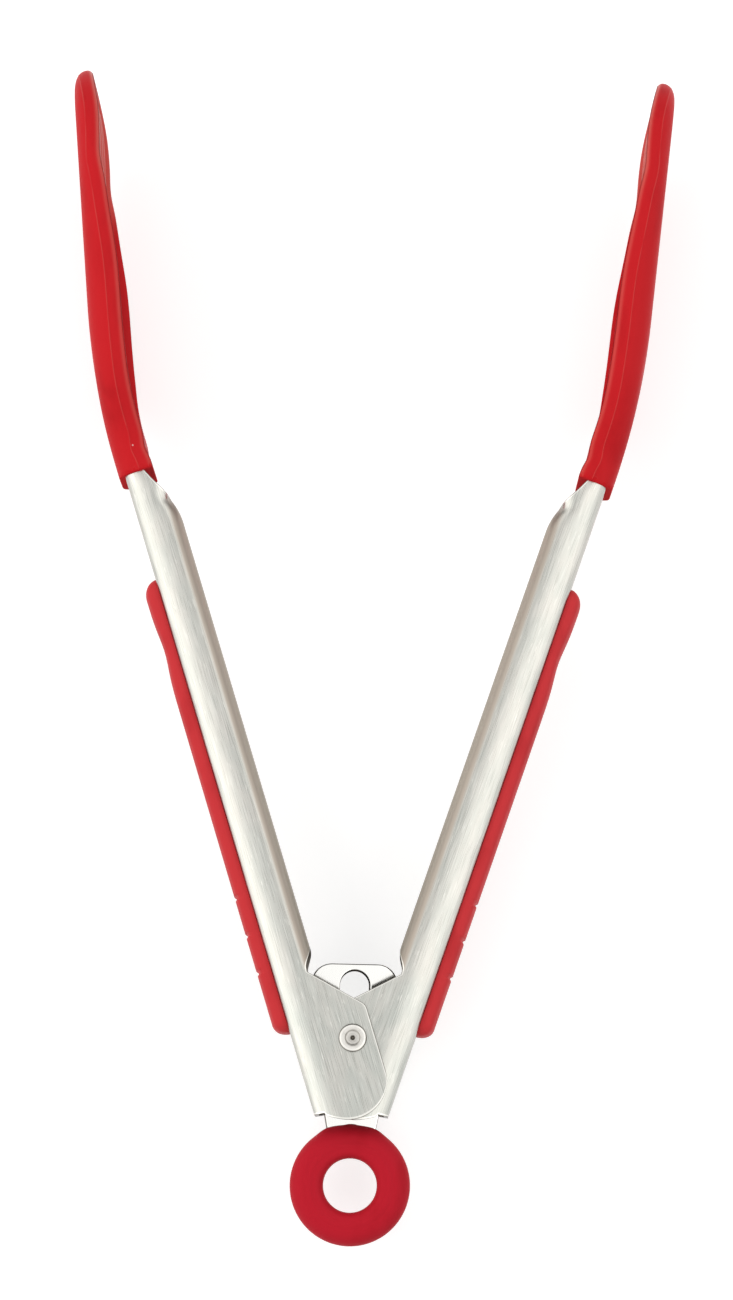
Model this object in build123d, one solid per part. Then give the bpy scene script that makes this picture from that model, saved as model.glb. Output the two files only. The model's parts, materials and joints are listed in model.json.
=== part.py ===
from build123d import *
import os
from math import asin, atan2, cos, degrees, hypot, radians, sin, tan

# Kitchen tongs lying on their side, open, with the pull tab pushed in. Sizes are in millimetres.
# X runs across the tongs, Y from the pull ring to the tips and Z along the rivet. The origin is
# the centre of the ring's hole. Both arms are one stamping: the right one is the left one turned
# over about Y. Arm pieces are drawn in the arm's own frame: the pivot at its origin, Y along the
# arm towards the tip, X towards the other arm.

# Arms
sheet = 0.9                 # thickness of the arm's steel
ear_gap = 0.3               # play between the two ears on one side of the rivet
open_angle = 18.0           # each arm from the middle line
arm_width = 17.0            # outside of the channel, along the rivet
arm_depth = 8.9             # from the arm's back to its rolled edges
back_offset = 12.0          # from the pivot out to the arm's back
corner_radius = 2.8         # outside radius of every bend in the channel
lip_length = 0.4            # straight part of the rolled edge after its bend
roll_start = 19.4           # where the rolled edges begin, from the pivot
roll_end = 112.5            # where they stop below the head
neck_taper = 16.2           # slope of the flanges' edge between there and the head
ear_edge = 4.5              # from the pivot to the ear's straight inner edge
ear_top = 5.7               # where that edge turns towards the channel
ear_corner = 2.0            # radius of that corner
ear_tail = 15.8             # from the pivot to the ear's round end
ear_lobe_radius = 7.5
ear_lobe_sweep = 120.0      # how far the round end turns, in degrees
heel_drop = 13.0            # from the pivot to the lower end of the arm's back
throat_height = 15.5        # where the ear's slanted edge meets the channel, along the arm
throat_depth = 7.0          # height of the channel's side there

# Heads. Places along a head are measured from its lower end.
head_start = 125.2          # the collar's lower end, from the pivot
head_length = 88.3
collar_wall = 1.3           # silicone over the steel
collar_depth = 7.5          # from the head's back to the collar's front
back_turn = 20.3            # where the head's back turns inwards
head_bend = 12.6            # how far it turns, in degrees
head_bend_radius = 150.0
rim_turn = 15.8             # where the scoop's rim turns inwards
rim_bend = 9.6
rim_bend_radius = 60.0
flare_from = 3.3            # where the collar begins to widen
flare_to = 24.8             # where the scoop has its full width
scoop_width = 35.0
shoulder_from = 60.8        # where the sides begin to close towards the tip
tip_from = 78.8             # tip shoulder
tip_half_width = 13.4       # half width there
head_back_radius = 3.0      # rounding of the outer edges
head_rim_radius = 1.0
edge_share = 0.25           # part of the head's depth in which an edge belongs to its back or its rim
scoop_wall = 2.6
scoop_cover = 0.8           # silicone between the steel core and the scoop's floor
hollow_from = 12.8          # lower end of the hollow
floor_from = 20.8           # where the hollow's steep lower end would reach the head's back
floor_to = 50.8             # where the ramp to the pad would leave the head's back
pad_from = 61.8             # where the gripping pad begins
pad_drop = 1.1              # pad below the rim
rib_count = 3
rib_pitch = 6.0
rib_radius = 1.1
rib_height = 0.7
rib_from = 64.8
rib_to = 79.8
core_width = 11.0           # steel strip inside the head
core_reach = 70.8           # its upper end
steel_reach = 4.8           # upper end of the arm's flanges

# Grips
grip_start = 4.8
grip_end = 103.4
grip_thickness = 3.2
grip_width = 13.0
grip_edge_radius = 1.5
grip_end_radius = 2.2
grip_waist_at = 88.0
grip_waist_depth = 0.7
grip_waist_reach = 7.5      # from the waist's middle to where the grip is full again
grip_waist_radius = 14.0
groove_count = 3
groove_start = 18.0         # lower edge of the first groove, from the pivot
groove_pitch = 8.0
groove_width = 1.0
groove_depth = 0.35
stud_count = 3
stud_start = 43.0           # middle of the first stud, from the pivot
stud_pitch = 23.0
stud_radius = 2.0
stud_head_radius = 3.0
stud_head_height = 1.0
stud_clearance = 0.05

# Rivet, bush, spacer and washer
rivet_diameter = 4.0
rivet_head_diameter = 5.7
rivet_head_height = 0.9
rivet_head_round = 0.35
rivet_dish_diameter = 3.2
rivet_dish_depth = 0.35
rivet_eye_diameter = 0.8
rivet_eye_depth = 0.3
running_clearance = 0.05    # radial, ear and bush on the rivet
end_play = 0.05             # along the rivet
bush_wall = 0.8
spacer_wall = 2.0
sleeve_clearance = 0.08     # radial, spacer and washer on the bush
washer_diameter = 10.4
washer_thickness = 0.4
slide_play = 0.1            # along the rivet, each side of the tab

# Spring
wire = 1.0
coil_turns = 3
coil_pitch = 1.05
coil_play = 0.8             # radial, coil round the bush
leg_contact = 26.0          # where a leg meets the arm's back, from the pivot
leg_end = 36.0
leg_clearance = 0.2
leg_bend_radius = 6.0
leg_run_out = 1.5           # how far a leg keeps the coil's slope before it runs level
leg_root_radius = 20.0

# Pull tab and ring
tab_thickness = 1.2
tab_top = 15.6              # from the pivot to the tab's upper edge
tab_head_width = 17.8
tab_corner = 4.2
tab_small_corner = 1.0
tab_shoulder = 4.4          # lower end of the full head width, above the pivot
tab_shoulder_slope = 5.2    # height of the slope from the head to the neck
tab_neck_width = 11.2
tab_taper_at = 15.6         # where the neck narrows, below the pivot
tab_tongue_width = 10.0
pull_travel = 11.1
slot_clearance = 0.12
anchor_hole_radius = 1.1
anchor_hole_spread = 5.4
ring_drop = 29.7            # from the pivot to the ring's centre
ring_diameter = 24.7
ring_hole = 11.0
ring_thickness = 7.0
ring_outer_round = 3.2
ring_hole_round = 1.9
tongue_cover = 1.4          # silicone between the tongue's end and the ring's hole

# Derived sizes
arm_shift = (sheet + ear_gap) / 2
outer_face = arm_width / 2 + arm_shift
inner_ear_face = outer_face - 2 * sheet - ear_gap
rivet_radius = rivet_diameter / 2
bush_bore = rivet_radius + running_clearance
bush_radius = bush_bore + bush_wall
slot_radius = bush_radius + slot_clearance
tab_face = tab_thickness / 2
coil_radius = bush_radius + coil_play + wire / 2
head_back = -(back_offset + collar_wall)
collar_front = head_back + collar_depth
collar_half_width = arm_width / 2 + collar_wall
head_end = head_start + head_length
head_bend_at = head_start + back_turn
rim_bend_at = head_start + rim_turn
flare_start = head_start + flare_from
flare_end = head_start + flare_to
scoop_shoulder = head_start + shoulder_from
tip_shoulder = head_start + tip_from
scoop_start = head_start + hollow_from
scoop_floor_start = head_start + floor_from
scoop_floor_end = head_start + floor_to
pad_start = head_start + pad_from
rib_start = head_start + rib_from
rib_end = head_start + rib_to
core_end = head_start + core_reach
steel_end = head_start + steel_reach
back_slope = tan(radians(head_bend))
rim_slope = tan(radians(rim_bend))
groove_starts = [groove_start + number * groove_pitch for number in range(groove_count)]
stud_places = [stud_start + number * stud_pitch for number in range(stud_count)]


def back_line(along, depth=0.0):
    """X of the head's back at a height along the slanted part, a depth under its surface."""
    return head_back + (along - head_bend_at) * back_slope + depth / cos(radians(head_bend))


def bend_corner(depth):
    """The corner point of a line that runs at a depth under the head's bent back."""
    return head_back + depth, head_bend_at - depth * tan(radians(head_bend) / 2)


def rim_line(along, depth=0.0):
    """X of the scoop's rim at a height along the slanted part, a depth under it."""
    return collar_front + (along - rim_bend_at) * rim_slope - depth / cos(radians(rim_bend))


def side_prism(outline, width):
    """A side outline in X and Y, made solid along Z about the arm's middle plane."""
    return Pos(0, 0, arm_shift - width / 2) * extrude(make_face(outline), amount=width)


def along_arm(section, start, end):
    """A cross-section in X and Z, carried along the arm from one height to another."""
    plane = Plane((0, start, arm_shift), x_dir=(1, 0, 0), z_dir=(0, -1, 0))
    return extrude(plane * section, amount=start - end)


def cross_bar(place, along, radius, length):
    """A cylinder along Z through a point of the arm's side view."""
    return Pos(place, along, arm_shift) * Cylinder(radius, length)


def back_bar(along, radius, first, last):
    """A cylinder along X through the middle of the arm's back, between two X places."""
    turned = Pos((first + last) / 2, along, arm_shift) * Rot(0, 90, 0)
    return turned * Cylinder(radius, last - first)


def channel_section(depth):
    """A tube section with round corners whose back lies on the arm's back."""
    outside = RectangleRounded(depth, arm_width, corner_radius)
    inside = RectangleRounded(depth - 2 * sheet, arm_width - 2 * sheet, corner_radius - sheet)
    return Pos(depth / 2 - back_offset, 0) * (outside - inside)


def rolled_channel():
    """The long part of the arm: a channel whose edges are rolled inwards."""
    mouth_width = arm_width - 2 * (corner_radius + lip_length)
    mouth = Pos(arm_depth - back_offset, 0) * Rectangle(2 * corner_radius, mouth_width)
    return along_arm(channel_section(arm_depth) - mouth, roll_start, roll_end)


def ear_outline():
    """Side view of the arm's lower end, with the ear that the rivet passes through."""
    throat = throat_depth - back_offset
    lobe_x = ear_edge - ear_lobe_radius
    lobe_y = ear_lobe_radius - ear_tail
    upper = FilletPolyline(
        (-back_offset, -heel_drop),
        (-back_offset, roll_start),
        (throat, roll_start),
        (throat, throat_height),
        (ear_edge, ear_top),
        (ear_edge, lobe_y),
        radius=[0, 0, 0, ear_corner],
    )
    lobe = CenterArc((lobe_x, lobe_y), ear_lobe_radius, 0, -ear_lobe_sweep)
    heel = Line(lobe @ 1, (-back_offset, -heel_drop))
    return upper.edges() + lobe.edges() + heel.edges()


def ear_channel():
    """The lower end of the arm: an open channel cut to the ear's outline."""
    open_depth = 2 * (back_offset + ear_edge + corner_radius)
    blank = along_arm(channel_section(open_depth), -ear_tail - sheet, roll_start)
    return blank & side_prism(ear_outline(), 2 * arm_width)


def neck_channel():
    """The upper end of the arm: an open channel whose flanges slope down into the head."""
    open_depth = 2 * (arm_depth + corner_radius)
    blank = along_arm(channel_section(open_depth), roll_end, steel_end)
    edge = arm_depth - back_offset
    drop = (steel_end - roll_end) * tan(radians(neck_taper))
    outline = Polyline(
        (-back_offset, roll_end),
        (edge, roll_end),
        (edge - drop, steel_end),
        (-back_offset, steel_end),
        close=True,
    )
    return blank & side_prism(outline.edges(), 2 * arm_width)


def core_strip():
    """The flat strip of the arm that stiffens the head and follows its bend."""
    outer = collar_wall
    inner = collar_wall + sheet
    tip_lean = sheet * back_slope
    outline = FilletPolyline(
        (head_back + outer, roll_end),
        bend_corner(outer),
        (back_line(core_end, outer), core_end),
        (back_line(core_end - tip_lean, inner), core_end - tip_lean),
        bend_corner(inner),
        (head_back + inner, roll_end),
        radius=[0, head_bend_radius - outer, 0, 0, head_bend_radius - inner, 0],
        close=True,
    )
    return side_prism(outline.edges(), core_width)


def arm():
    """One steel arm: ears, rolled channel, neck and core strip, with its holes."""
    steel = rolled_channel() + ear_channel() + neck_channel() + core_strip()
    steel -= cross_bar(0, 0, rivet_radius + running_clearance, 2 * arm_width)
    outside = -back_offset - sheet
    inside = -back_offset + 2 * sheet
    for along in stud_places:
        steel -= back_bar(along, stud_radius + stud_clearance, outside, inside)
    return steel


def head_side_outline():
    """Side view of a head: the collar, the bend and the scoop, drawn on past the tip."""
    past = head_end + collar_depth
    return FilletPolyline(
        (head_back, head_start),
        (head_back, head_bend_at),
        (back_line(past), past),
        (rim_line(past), past),
        (collar_front, rim_bend_at),
        (collar_front, head_start),
        radius=[0, head_bend_radius, 0, 0, rim_bend_radius, 0],
        close=True,
    ).edges()


def head_front_outline(inset):
    """Front view of a head, in Y and Z, moved in from its edge by an inset."""
    below = head_start - collar_depth
    collar = collar_half_width - inset
    full = scoop_width / 2 - inset
    shoulder = tip_half_width - inset
    tip = head_end - inset
    side = [
        Line((below, collar), (flare_start, collar)),
        Spline((flare_start, collar), (flare_end, full), tangents=[(1, 0), (1, 0)]),
        Line((flare_end, full), (scoop_shoulder, full)),
        Spline(
            (scoop_shoulder, full), (tip_shoulder, shoulder), (tip, 0), tangents=[(1, 0), (0, -1)]
        ),
    ]
    start = Line((below, -collar), (below, collar))
    mirrored = [mirror(edge, about=Plane.XZ) for edge in side]
    return make_face([start] + side + mirrored)


def front_prism(inset):
    """The front outline carried through the head's whole depth."""
    reach = 2 * back_offset
    plane = Plane((-reach, 0, arm_shift), x_dir=(0, 1, 0), z_dir=(1, 0, 0))
    return extrude(plane * head_front_outline(inset), amount=2 * reach)


def depth_share(point):
    """How far a point lies from the head's back, 0, to its rim, 1."""
    back = max(head_back, back_line(point.Y))
    rim = max(collar_front, rim_line(point.Y))
    return (point.X - back) / (rim - back)


def head_edges(solid, on_back):
    """The long outer edges of a head, either those of its back or those of its rim."""
    chosen = []
    for edge in solid.edges():
        box = edge.bounding_box().size
        middle = edge @ 0.5
        up_a_wall = box.X > box.Y and box.X > box.Z
        across = box.Z > box.Y and abs(middle.Z - arm_shift) < sheet
        share = depth_share(middle) if on_back else 1 - depth_share(middle)
        if share < edge_share and not up_a_wall and not across:
            chosen.append(edge)
    return chosen


def over_core():
    """The space in front of the silicone that covers the core, along the head's bent back."""
    depth = collar_wall + sheet + scoop_cover
    past = head_end + collar_depth
    outline = FilletPolyline(
        (back_offset, head_start),
        (head_back + depth, head_start),
        bend_corner(depth),
        (back_line(past, depth), past),
        (back_offset, past),
        radius=[0, 0, head_bend_radius - depth, 0, 0],
        close=True,
    )
    return side_prism(outline.edges(), scoop_width)


def scoop_hollow():
    """The hollow of a scoop: a steep start, a floor over the core and a ramp to the gripping pad."""
    outline = Polyline(
        (back_offset, scoop_start),
        (collar_front, scoop_start),
        (head_back, scoop_floor_start),
        (back_line(scoop_floor_end), scoop_floor_end),
        (rim_line(pad_start, pad_drop), pad_start),
        (rim_line(head_end, pad_drop), head_end),
        (back_offset, head_end),
        close=True,
    )
    return side_prism(outline.edges(), scoop_width) & over_core() & front_prism(scoop_wall)


def pad_ribs():
    """Round ribs that run along the gripping pad."""
    sink = pad_drop + rib_radius - rib_height
    start = Vector(rim_line(rib_start, sink), rib_start, arm_shift)
    end = Vector(rim_line(rib_end, sink), rib_end, arm_shift)
    bar = Solid.make_cylinder(rib_radius, (end - start).length, Plane(start, z_dir=end - start))
    bar += Pos(*start) * Sphere(rib_radius)
    bar += Pos(*end) * Sphere(rib_radius)
    first = -rib_pitch * (rib_count - 1) / 2
    return [Pos(0, 0, first + number * rib_pitch) * bar for number in range(rib_count)]


def head(steel):
    """A silicone head moulded round the arm's core."""
    solid = side_prism(head_side_outline(), 2 * scoop_width) & front_prism(0)
    solid = fillet(head_edges(solid, True), head_back_radius)
    solid = fillet(head_edges(solid, False), head_rim_radius)
    solid -= scoop_hollow()
    for rib in pad_ribs():
        solid += rib
    return solid - steel


def grip_outline():
    """Side view of a grip: a pad on the arm's back with a waist for the fingers near its upper end."""
    outside = -back_offset - grip_thickness
    waist = outside + grip_waist_depth
    waist_radii = [grip_waist_radius] * 3
    return FilletPolyline(
        (-back_offset, grip_start),
        (outside, grip_start),
        (outside, grip_waist_at - grip_waist_reach),
        (waist, grip_waist_at),
        (outside, grip_waist_at + grip_waist_reach),
        (outside, grip_end),
        (-back_offset, grip_end),
        radius=[0, grip_end_radius, *waist_radii, grip_end_radius, 0],
        close=True,
    ).edges()


def grip():
    """A soft grip with grooves across its back, held by studs through the arm's back."""
    pad = side_prism(grip_outline(), grip_width)
    outside = -back_offset - grip_thickness
    raised = -back_offset - grip_edge_radius / 2
    rounded = pad.edges().filter_by(lambda edge: (edge @ 0.5).X < raised)
    rounded = rounded.filter_by(lambda edge: abs((edge @ 0.5).Z - arm_shift) > sheet)
    pad = fillet(rounded, grip_edge_radius)
    for start in groove_starts:
        groove = Box(2 * groove_depth, groove_width, 2 * grip_width)
        pad -= Pos(outside, start + groove_width / 2, arm_shift) * groove
    inner_face = -back_offset + sheet
    for along in stud_places:
        pad += back_bar(along, stud_radius, -back_offset, inner_face + stud_head_height)
        pad += back_bar(along, stud_head_radius, inner_face, inner_face + stud_head_height)
    return pad


def rivet():
    """The pivot rivet with a dished head on each side."""
    head_base = outer_face + end_play
    radius = rivet_head_diameter / 2
    solid = Cylinder(rivet_radius, 2 * head_base + 2 * rivet_head_height)
    cap = Pos(0, 0, head_base + rivet_head_height / 2) * Cylinder(radius, rivet_head_height)
    top = head_base + rivet_head_height
    dish = Pos(0, 0, top) * Cylinder(rivet_dish_diameter / 2, 2 * rivet_dish_depth)
    eye = Pos(0, 0, top - rivet_dish_depth) * Cylinder(rivet_eye_diameter / 2, 2 * rivet_eye_depth)
    cap = fillet(cap.edges().group_by(Axis.Z)[-1], rivet_head_round)
    for turn in (Rot(0, 0, 0), Rot(180, 0, 0)):
        solid = solid + turn * cap - turn * dish - turn * eye
    return solid


def tube(outer, inner, bottom, top):
    """A plain tube along Z between two heights."""
    ring = Circle(outer) - Circle(inner)
    return Pos(0, 0, bottom) * extrude(ring, amount=top - bottom)


def bush():
    """The tube on the rivet that the tab's slot slides on."""
    reach = inner_ear_face - end_play
    return tube(bush_radius, bush_bore, -reach, reach)


def spacer():
    """The sleeve that holds the tab in the middle from the far side."""
    bore = bush_radius + sleeve_clearance
    return tube(bore + spacer_wall, bore, end_play - inner_ear_face, -tab_face - slide_play)


def slide_washer():
    """The washer between the tab and the spring's coil."""
    bore = bush_radius + sleeve_clearance
    bottom = tab_face + slide_play
    return tube(washer_diameter / 2, bore, bottom, bottom + washer_thickness)


def leg_depth():
    """From the pivot out to the middle of a leg that lies along the inside of an arm's back."""
    return back_offset - sheet - leg_clearance - wire / 2


def leg_direction():
    """Angle from +X of the left leg, which leaves the coil on the side of the arm's back."""
    reach = hypot(leg_contact, leg_depth())
    lean = degrees(atan2(leg_depth(), leg_contact)) - degrees(asin(coil_radius / reach))
    return 90 + open_angle + lean


def leg_path(root, away, side):
    """The line of one leg: straight out of the coil, level to the arm's back, then along it."""
    turn = radians(open_angle)
    level = root + away.normalized() * leg_run_out
    points = [root, level]
    for along in (leg_contact, leg_end):
        x = -along * sin(turn) - leg_depth() * cos(turn)
        y = along * cos(turn) - leg_depth() * sin(turn)
        points.append(Vector(side * x, y, level.Z))
    return FilletPolyline(*points, radius=[leg_root_radius, leg_bend_radius])


def spring():
    """The torsion spring: one wire, coiled round the bush, with a leg to each arm."""
    bottom = tab_face + slide_play + washer_thickness + slide_play + wire / 2
    start_angle = leg_direction() + 90
    span = 360 * coil_turns + 2 * (270 - start_angle)
    coil = Helix(coil_pitch, coil_pitch * span / 360, coil_radius)
    coil = Pos(0, 0, bottom) * Rot(0, 0, start_angle) * coil
    left = leg_path(coil @ 0, (coil % 0) * -1, 1)
    right = leg_path(coil @ 1, coil % 1, -1)
    path = Wire(left.edges() + coil.edges() + right.edges())
    profile = Plane(path @ 0, z_dir=path % 0) * Circle(wire / 2)
    return sweep(profile, path)


def tab():
    """The pull tab: a wide slotted head, a neck and a tongue inside the ring."""
    half_head = tab_head_width / 2
    half_neck = tab_neck_width / 2
    half_tongue = tab_tongue_width / 2
    end = -(ring_drop - ring_hole / 2 - tongue_cover)
    taper_end = -(ring_drop - ring_diameter / 2 + tongue_cover)
    slope_end = tab_shoulder - tab_shoulder_slope
    side = [
        (half_tongue, end),
        (half_tongue, taper_end),
        (half_neck, -tab_taper_at),
        (half_neck, slope_end),
        (half_head, tab_shoulder),
        (half_head, tab_top),
    ]
    small = tab_small_corner
    corners = [small, 0, small, small, small, tab_corner]
    mirrored = [(-x, y) for x, y in reversed(side)]
    outline = FilletPolyline(*side, *mirrored, radius=corners + corners[::-1], close=True)
    plate = extrude(make_face(outline.edges()), amount=tab_face, both=True)
    slot = Pos(0, pull_travel / 2) * SlotCenterToCenter(pull_travel, 2 * slot_radius, rotation=90)
    plate -= extrude(slot, amount=tab_thickness, both=True)
    for side_x in (-1, 1):
        hole = Cylinder(anchor_hole_radius, 2 * tab_thickness)
        plate -= Pos(side_x * anchor_hole_spread / 2, (taper_end + end) / 2) * hole
    return plate


def ring(steel):
    """The soft ring on the tab's tongue, with a short straight land in its hole."""
    hole = ring_hole / 2
    outside = ring_diameter / 2
    half = ring_thickness / 2
    section = FilletPolyline(
        (hole, -half),
        (outside, -half),
        (outside, half),
        (hole, half),
        radius=[ring_hole_round, ring_outer_round, ring_outer_round, ring_hole_round],
        close=True,
    )
    solid = revolve(Plane.XZ * make_face(section.edges()), Axis.Z)
    return Pos(0, -ring_drop) * solid - steel


def build():
    """Every piece in its place, by name."""
    pivot = Pos(0, ring_drop)
    left = pivot * Rot(0, 0, open_angle)
    right = pivot * Rot(0, 180, 0) * Rot(0, 0, open_angle)
    steel = arm()
    pull = tab()
    arm_pieces = {"arm": steel, "head": head(steel), "grip": grip()}
    pieces = {}
    for name, shape in arm_pieces.items():
        pieces["left_" + name] = left * shape
        pieces["right_" + name] = right * shape
    middle = {
        "pivot_rivet": rivet(),
        "pivot_bush": bush(),
        "tab_spacer": spacer(),
        "slide_washer": slide_washer(),
        "torsion_spring": spring(),
        "pull_tab": pull,
        "pull_ring": ring(pull),
    }
    for name, shape in middle.items():
        pieces[name] = pivot * shape
    return pieces


os.makedirs("parts", exist_ok=True)
for name, shape in build().items():
    export_step(shape, "parts/" + name + ".step")
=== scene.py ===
"""Spring loaded kitchen tongs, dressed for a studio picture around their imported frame.

Sizes are in millimetres and angles in degrees. Arm pieces are worked out in the arm's own frame: u
runs from the pivot to the tip, v towards the other arm and z along the rivet. Both arms are one
stamping, and the right one is the left one turned over, so every arm piece is made once and placed
twice.
"""

import json
import logging
from dataclasses import dataclass, field
from enum import Enum
from typing import Any, Union

import bmesh
import bpy
import numpy as np
from mathutils import Matrix, Vector

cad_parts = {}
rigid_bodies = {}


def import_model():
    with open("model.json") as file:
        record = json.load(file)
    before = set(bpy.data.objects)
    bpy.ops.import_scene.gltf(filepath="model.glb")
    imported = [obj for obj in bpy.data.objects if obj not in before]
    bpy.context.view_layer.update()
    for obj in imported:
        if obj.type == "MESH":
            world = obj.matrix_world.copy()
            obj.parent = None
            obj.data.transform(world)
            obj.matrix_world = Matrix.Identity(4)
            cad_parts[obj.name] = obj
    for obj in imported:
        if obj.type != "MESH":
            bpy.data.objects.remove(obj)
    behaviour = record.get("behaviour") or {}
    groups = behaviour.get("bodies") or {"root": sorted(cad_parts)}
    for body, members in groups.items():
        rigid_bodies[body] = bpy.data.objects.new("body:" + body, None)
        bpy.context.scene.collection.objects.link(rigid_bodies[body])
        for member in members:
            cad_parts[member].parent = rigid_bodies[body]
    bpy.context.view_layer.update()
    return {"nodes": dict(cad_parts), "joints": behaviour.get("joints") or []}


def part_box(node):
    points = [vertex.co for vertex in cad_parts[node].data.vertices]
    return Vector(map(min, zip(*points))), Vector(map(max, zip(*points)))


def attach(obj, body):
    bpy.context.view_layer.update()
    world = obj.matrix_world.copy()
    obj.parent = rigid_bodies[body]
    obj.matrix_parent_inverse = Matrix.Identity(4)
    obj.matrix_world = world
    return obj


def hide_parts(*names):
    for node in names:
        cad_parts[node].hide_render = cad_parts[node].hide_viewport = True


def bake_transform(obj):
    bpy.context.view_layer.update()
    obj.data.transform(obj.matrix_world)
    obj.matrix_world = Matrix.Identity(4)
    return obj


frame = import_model()

Array = np.ndarray
Pair = tuple[float, float]
Triple = tuple[float, float, float]
Colour = Triple
MM = 0.001
UV_NAME = "along"
BLACK: Colour = (0.0, 0.0, 0.0)
WHITE: Colour = (1.0, 1.0, 1.0)
PIVOT = np.array(frame["joints"][0]["pos_m"]) / MM
INNER_NODES = {"pivot_bush": "bush_steel", "tab_spacer": "nylon", "slide_washer": "nylon"}
LOG = logging.getLogger("tongs")


def smooth(low: float, high: float, value: Array) -> Array:
    """A step that eases from 0 at low to 1 at high: 3t squared minus 2t cubed.

    Args:
        low: where the step begins.
        high: where it ends.
        value: the places to work it out at.

    Returns:
        The height of the step at each place.
    """
    t = np.clip((value - low) / (high - low), 0.0, 1.0)
    return t * t * (3.0 - 2.0 * t)


def hump(value: Array, rise: float, place: float, reach: float) -> Array:
    """A bell: the rise times e to minus the square of the distance from a place over a reach."""
    return rise * np.exp(-(((value - place) / reach) ** 2))


def quarter_turn(count: int) -> Array:
    """Evenly spaced angles from 0 to a right angle, in radians."""
    return np.linspace(0.0, np.pi / 2, count)


def quarter_round(distance: Array, radius: Array | float) -> Array:
    """How far a rounded edge falls back at a distance in from the edge, on a quarter circle."""
    left = np.clip(radius - distance, 0.0, radius)
    return radius - np.sqrt(radius * radius - left * left)


def bent_line(u: Array, level: float, corner: float, angle: float, radius: float) -> Array:
    """A line that runs level, turns by an angle on an arc, and goes on as a slope.

    Args:
        u: places along the line.
        level: height of the level part.
        corner: where the two straight parts would meet.
        angle: the turn, in degrees.
        radius: radius of the arc that is tangent to both.

    Returns:
        The height at each place.
    """
    turn = np.radians(angle)
    first = corner - radius * np.tan(turn / 2)
    last = first + radius * np.sin(turn)
    on_arc = np.clip(u - first, 0.0, last - first)
    arc = radius - np.sqrt(radius * radius - on_arc * on_arc)
    return level + arc + np.clip(u - last, 0.0, None) * np.tan(turn)


def points_of(*axes: Array) -> Array:
    """Points from their coordinates on each axis, which are spread to one common shape."""
    return np.stack(np.broadcast_arrays(*axes), axis=-1)


def unit(vectors: Array) -> Array:
    """Each vector divided by its length."""
    return vectors / np.linalg.norm(vectors, axis=-1, keepdims=True)


def running_length(points: Array) -> Array:
    """The way along each row of points from its first one: the running sum of its steps.

    Args:
        points: one line of points, or rows of them.

    Returns:
        A length for each point.
    """
    steps = np.linalg.norm(np.diff(points, axis=-2), axis=-1)
    start = np.zeros((*steps.shape[:-1], 1))
    return np.concatenate([start, np.cumsum(steps, axis=-1)], axis=-1)


@dataclass
class Patch:
    """A grid of points with texture coordinates and named marks.

    Attributes:
        points: rows by columns by 3, in millimetres.
        uv: rows by columns by 2, in millimetres along the surface.
        marks: values at each point, by name.
    """

    points: Array
    uv: Array
    marks: dict[str, Array] = field(default_factory=dict)

    def corners(self) -> Array:
        """The four point numbers of each cell of the grid.

        Returns:
            Cells by 4.
        """
        rows, columns = self.points.shape[:2]
        at = np.arange(rows * columns).reshape(rows, columns)
        return points_of(at[:-1, :-1], at[:-1, 1:], at[1:, 1:], at[1:, :-1]).reshape(-1, 4)

    def mirrored(self, plane_z: float = 0.0) -> "Patch":
        """The patch reflected across a plane of constant z, with its columns reversed.

        Args:
            plane_z: height of the plane.

        Returns:
            A patch of its own.
        """
        points = self.points[:, ::-1] * (1.0, 1.0, -1.0) + (0.0, 0.0, 2 * plane_z)
        marks = {name: value[:, ::-1] for name, value in self.marks.items()}
        return Patch(points, self.uv[:, ::-1], marks)

    def doubled(self) -> "Patch":
        """One grid of the mirror image in z = 0 and the patch, which meet at its first column.

        Returns:
            The wider patch, with texture coordinates that run on across the middle.
        """
        other = self.mirrored()
        points = np.hstack([other.points[:, :-1], self.points])
        uv = np.hstack([other.uv[:, :-1] * (-1.0, 1.0), self.uv])
        marks = {name: np.hstack([other.marks[name][:, :-1], mark]) for name, mark in self.marks.items()}
        return Patch(points, uv, marks)


class Side(Enum):
    """The two arms, with the sign of the side that each lies on."""

    LEFT = 1
    RIGHT = -1

    @property
    def word(self) -> str:
        """The side's name in lower case."""
        return self.name.lower()


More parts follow.
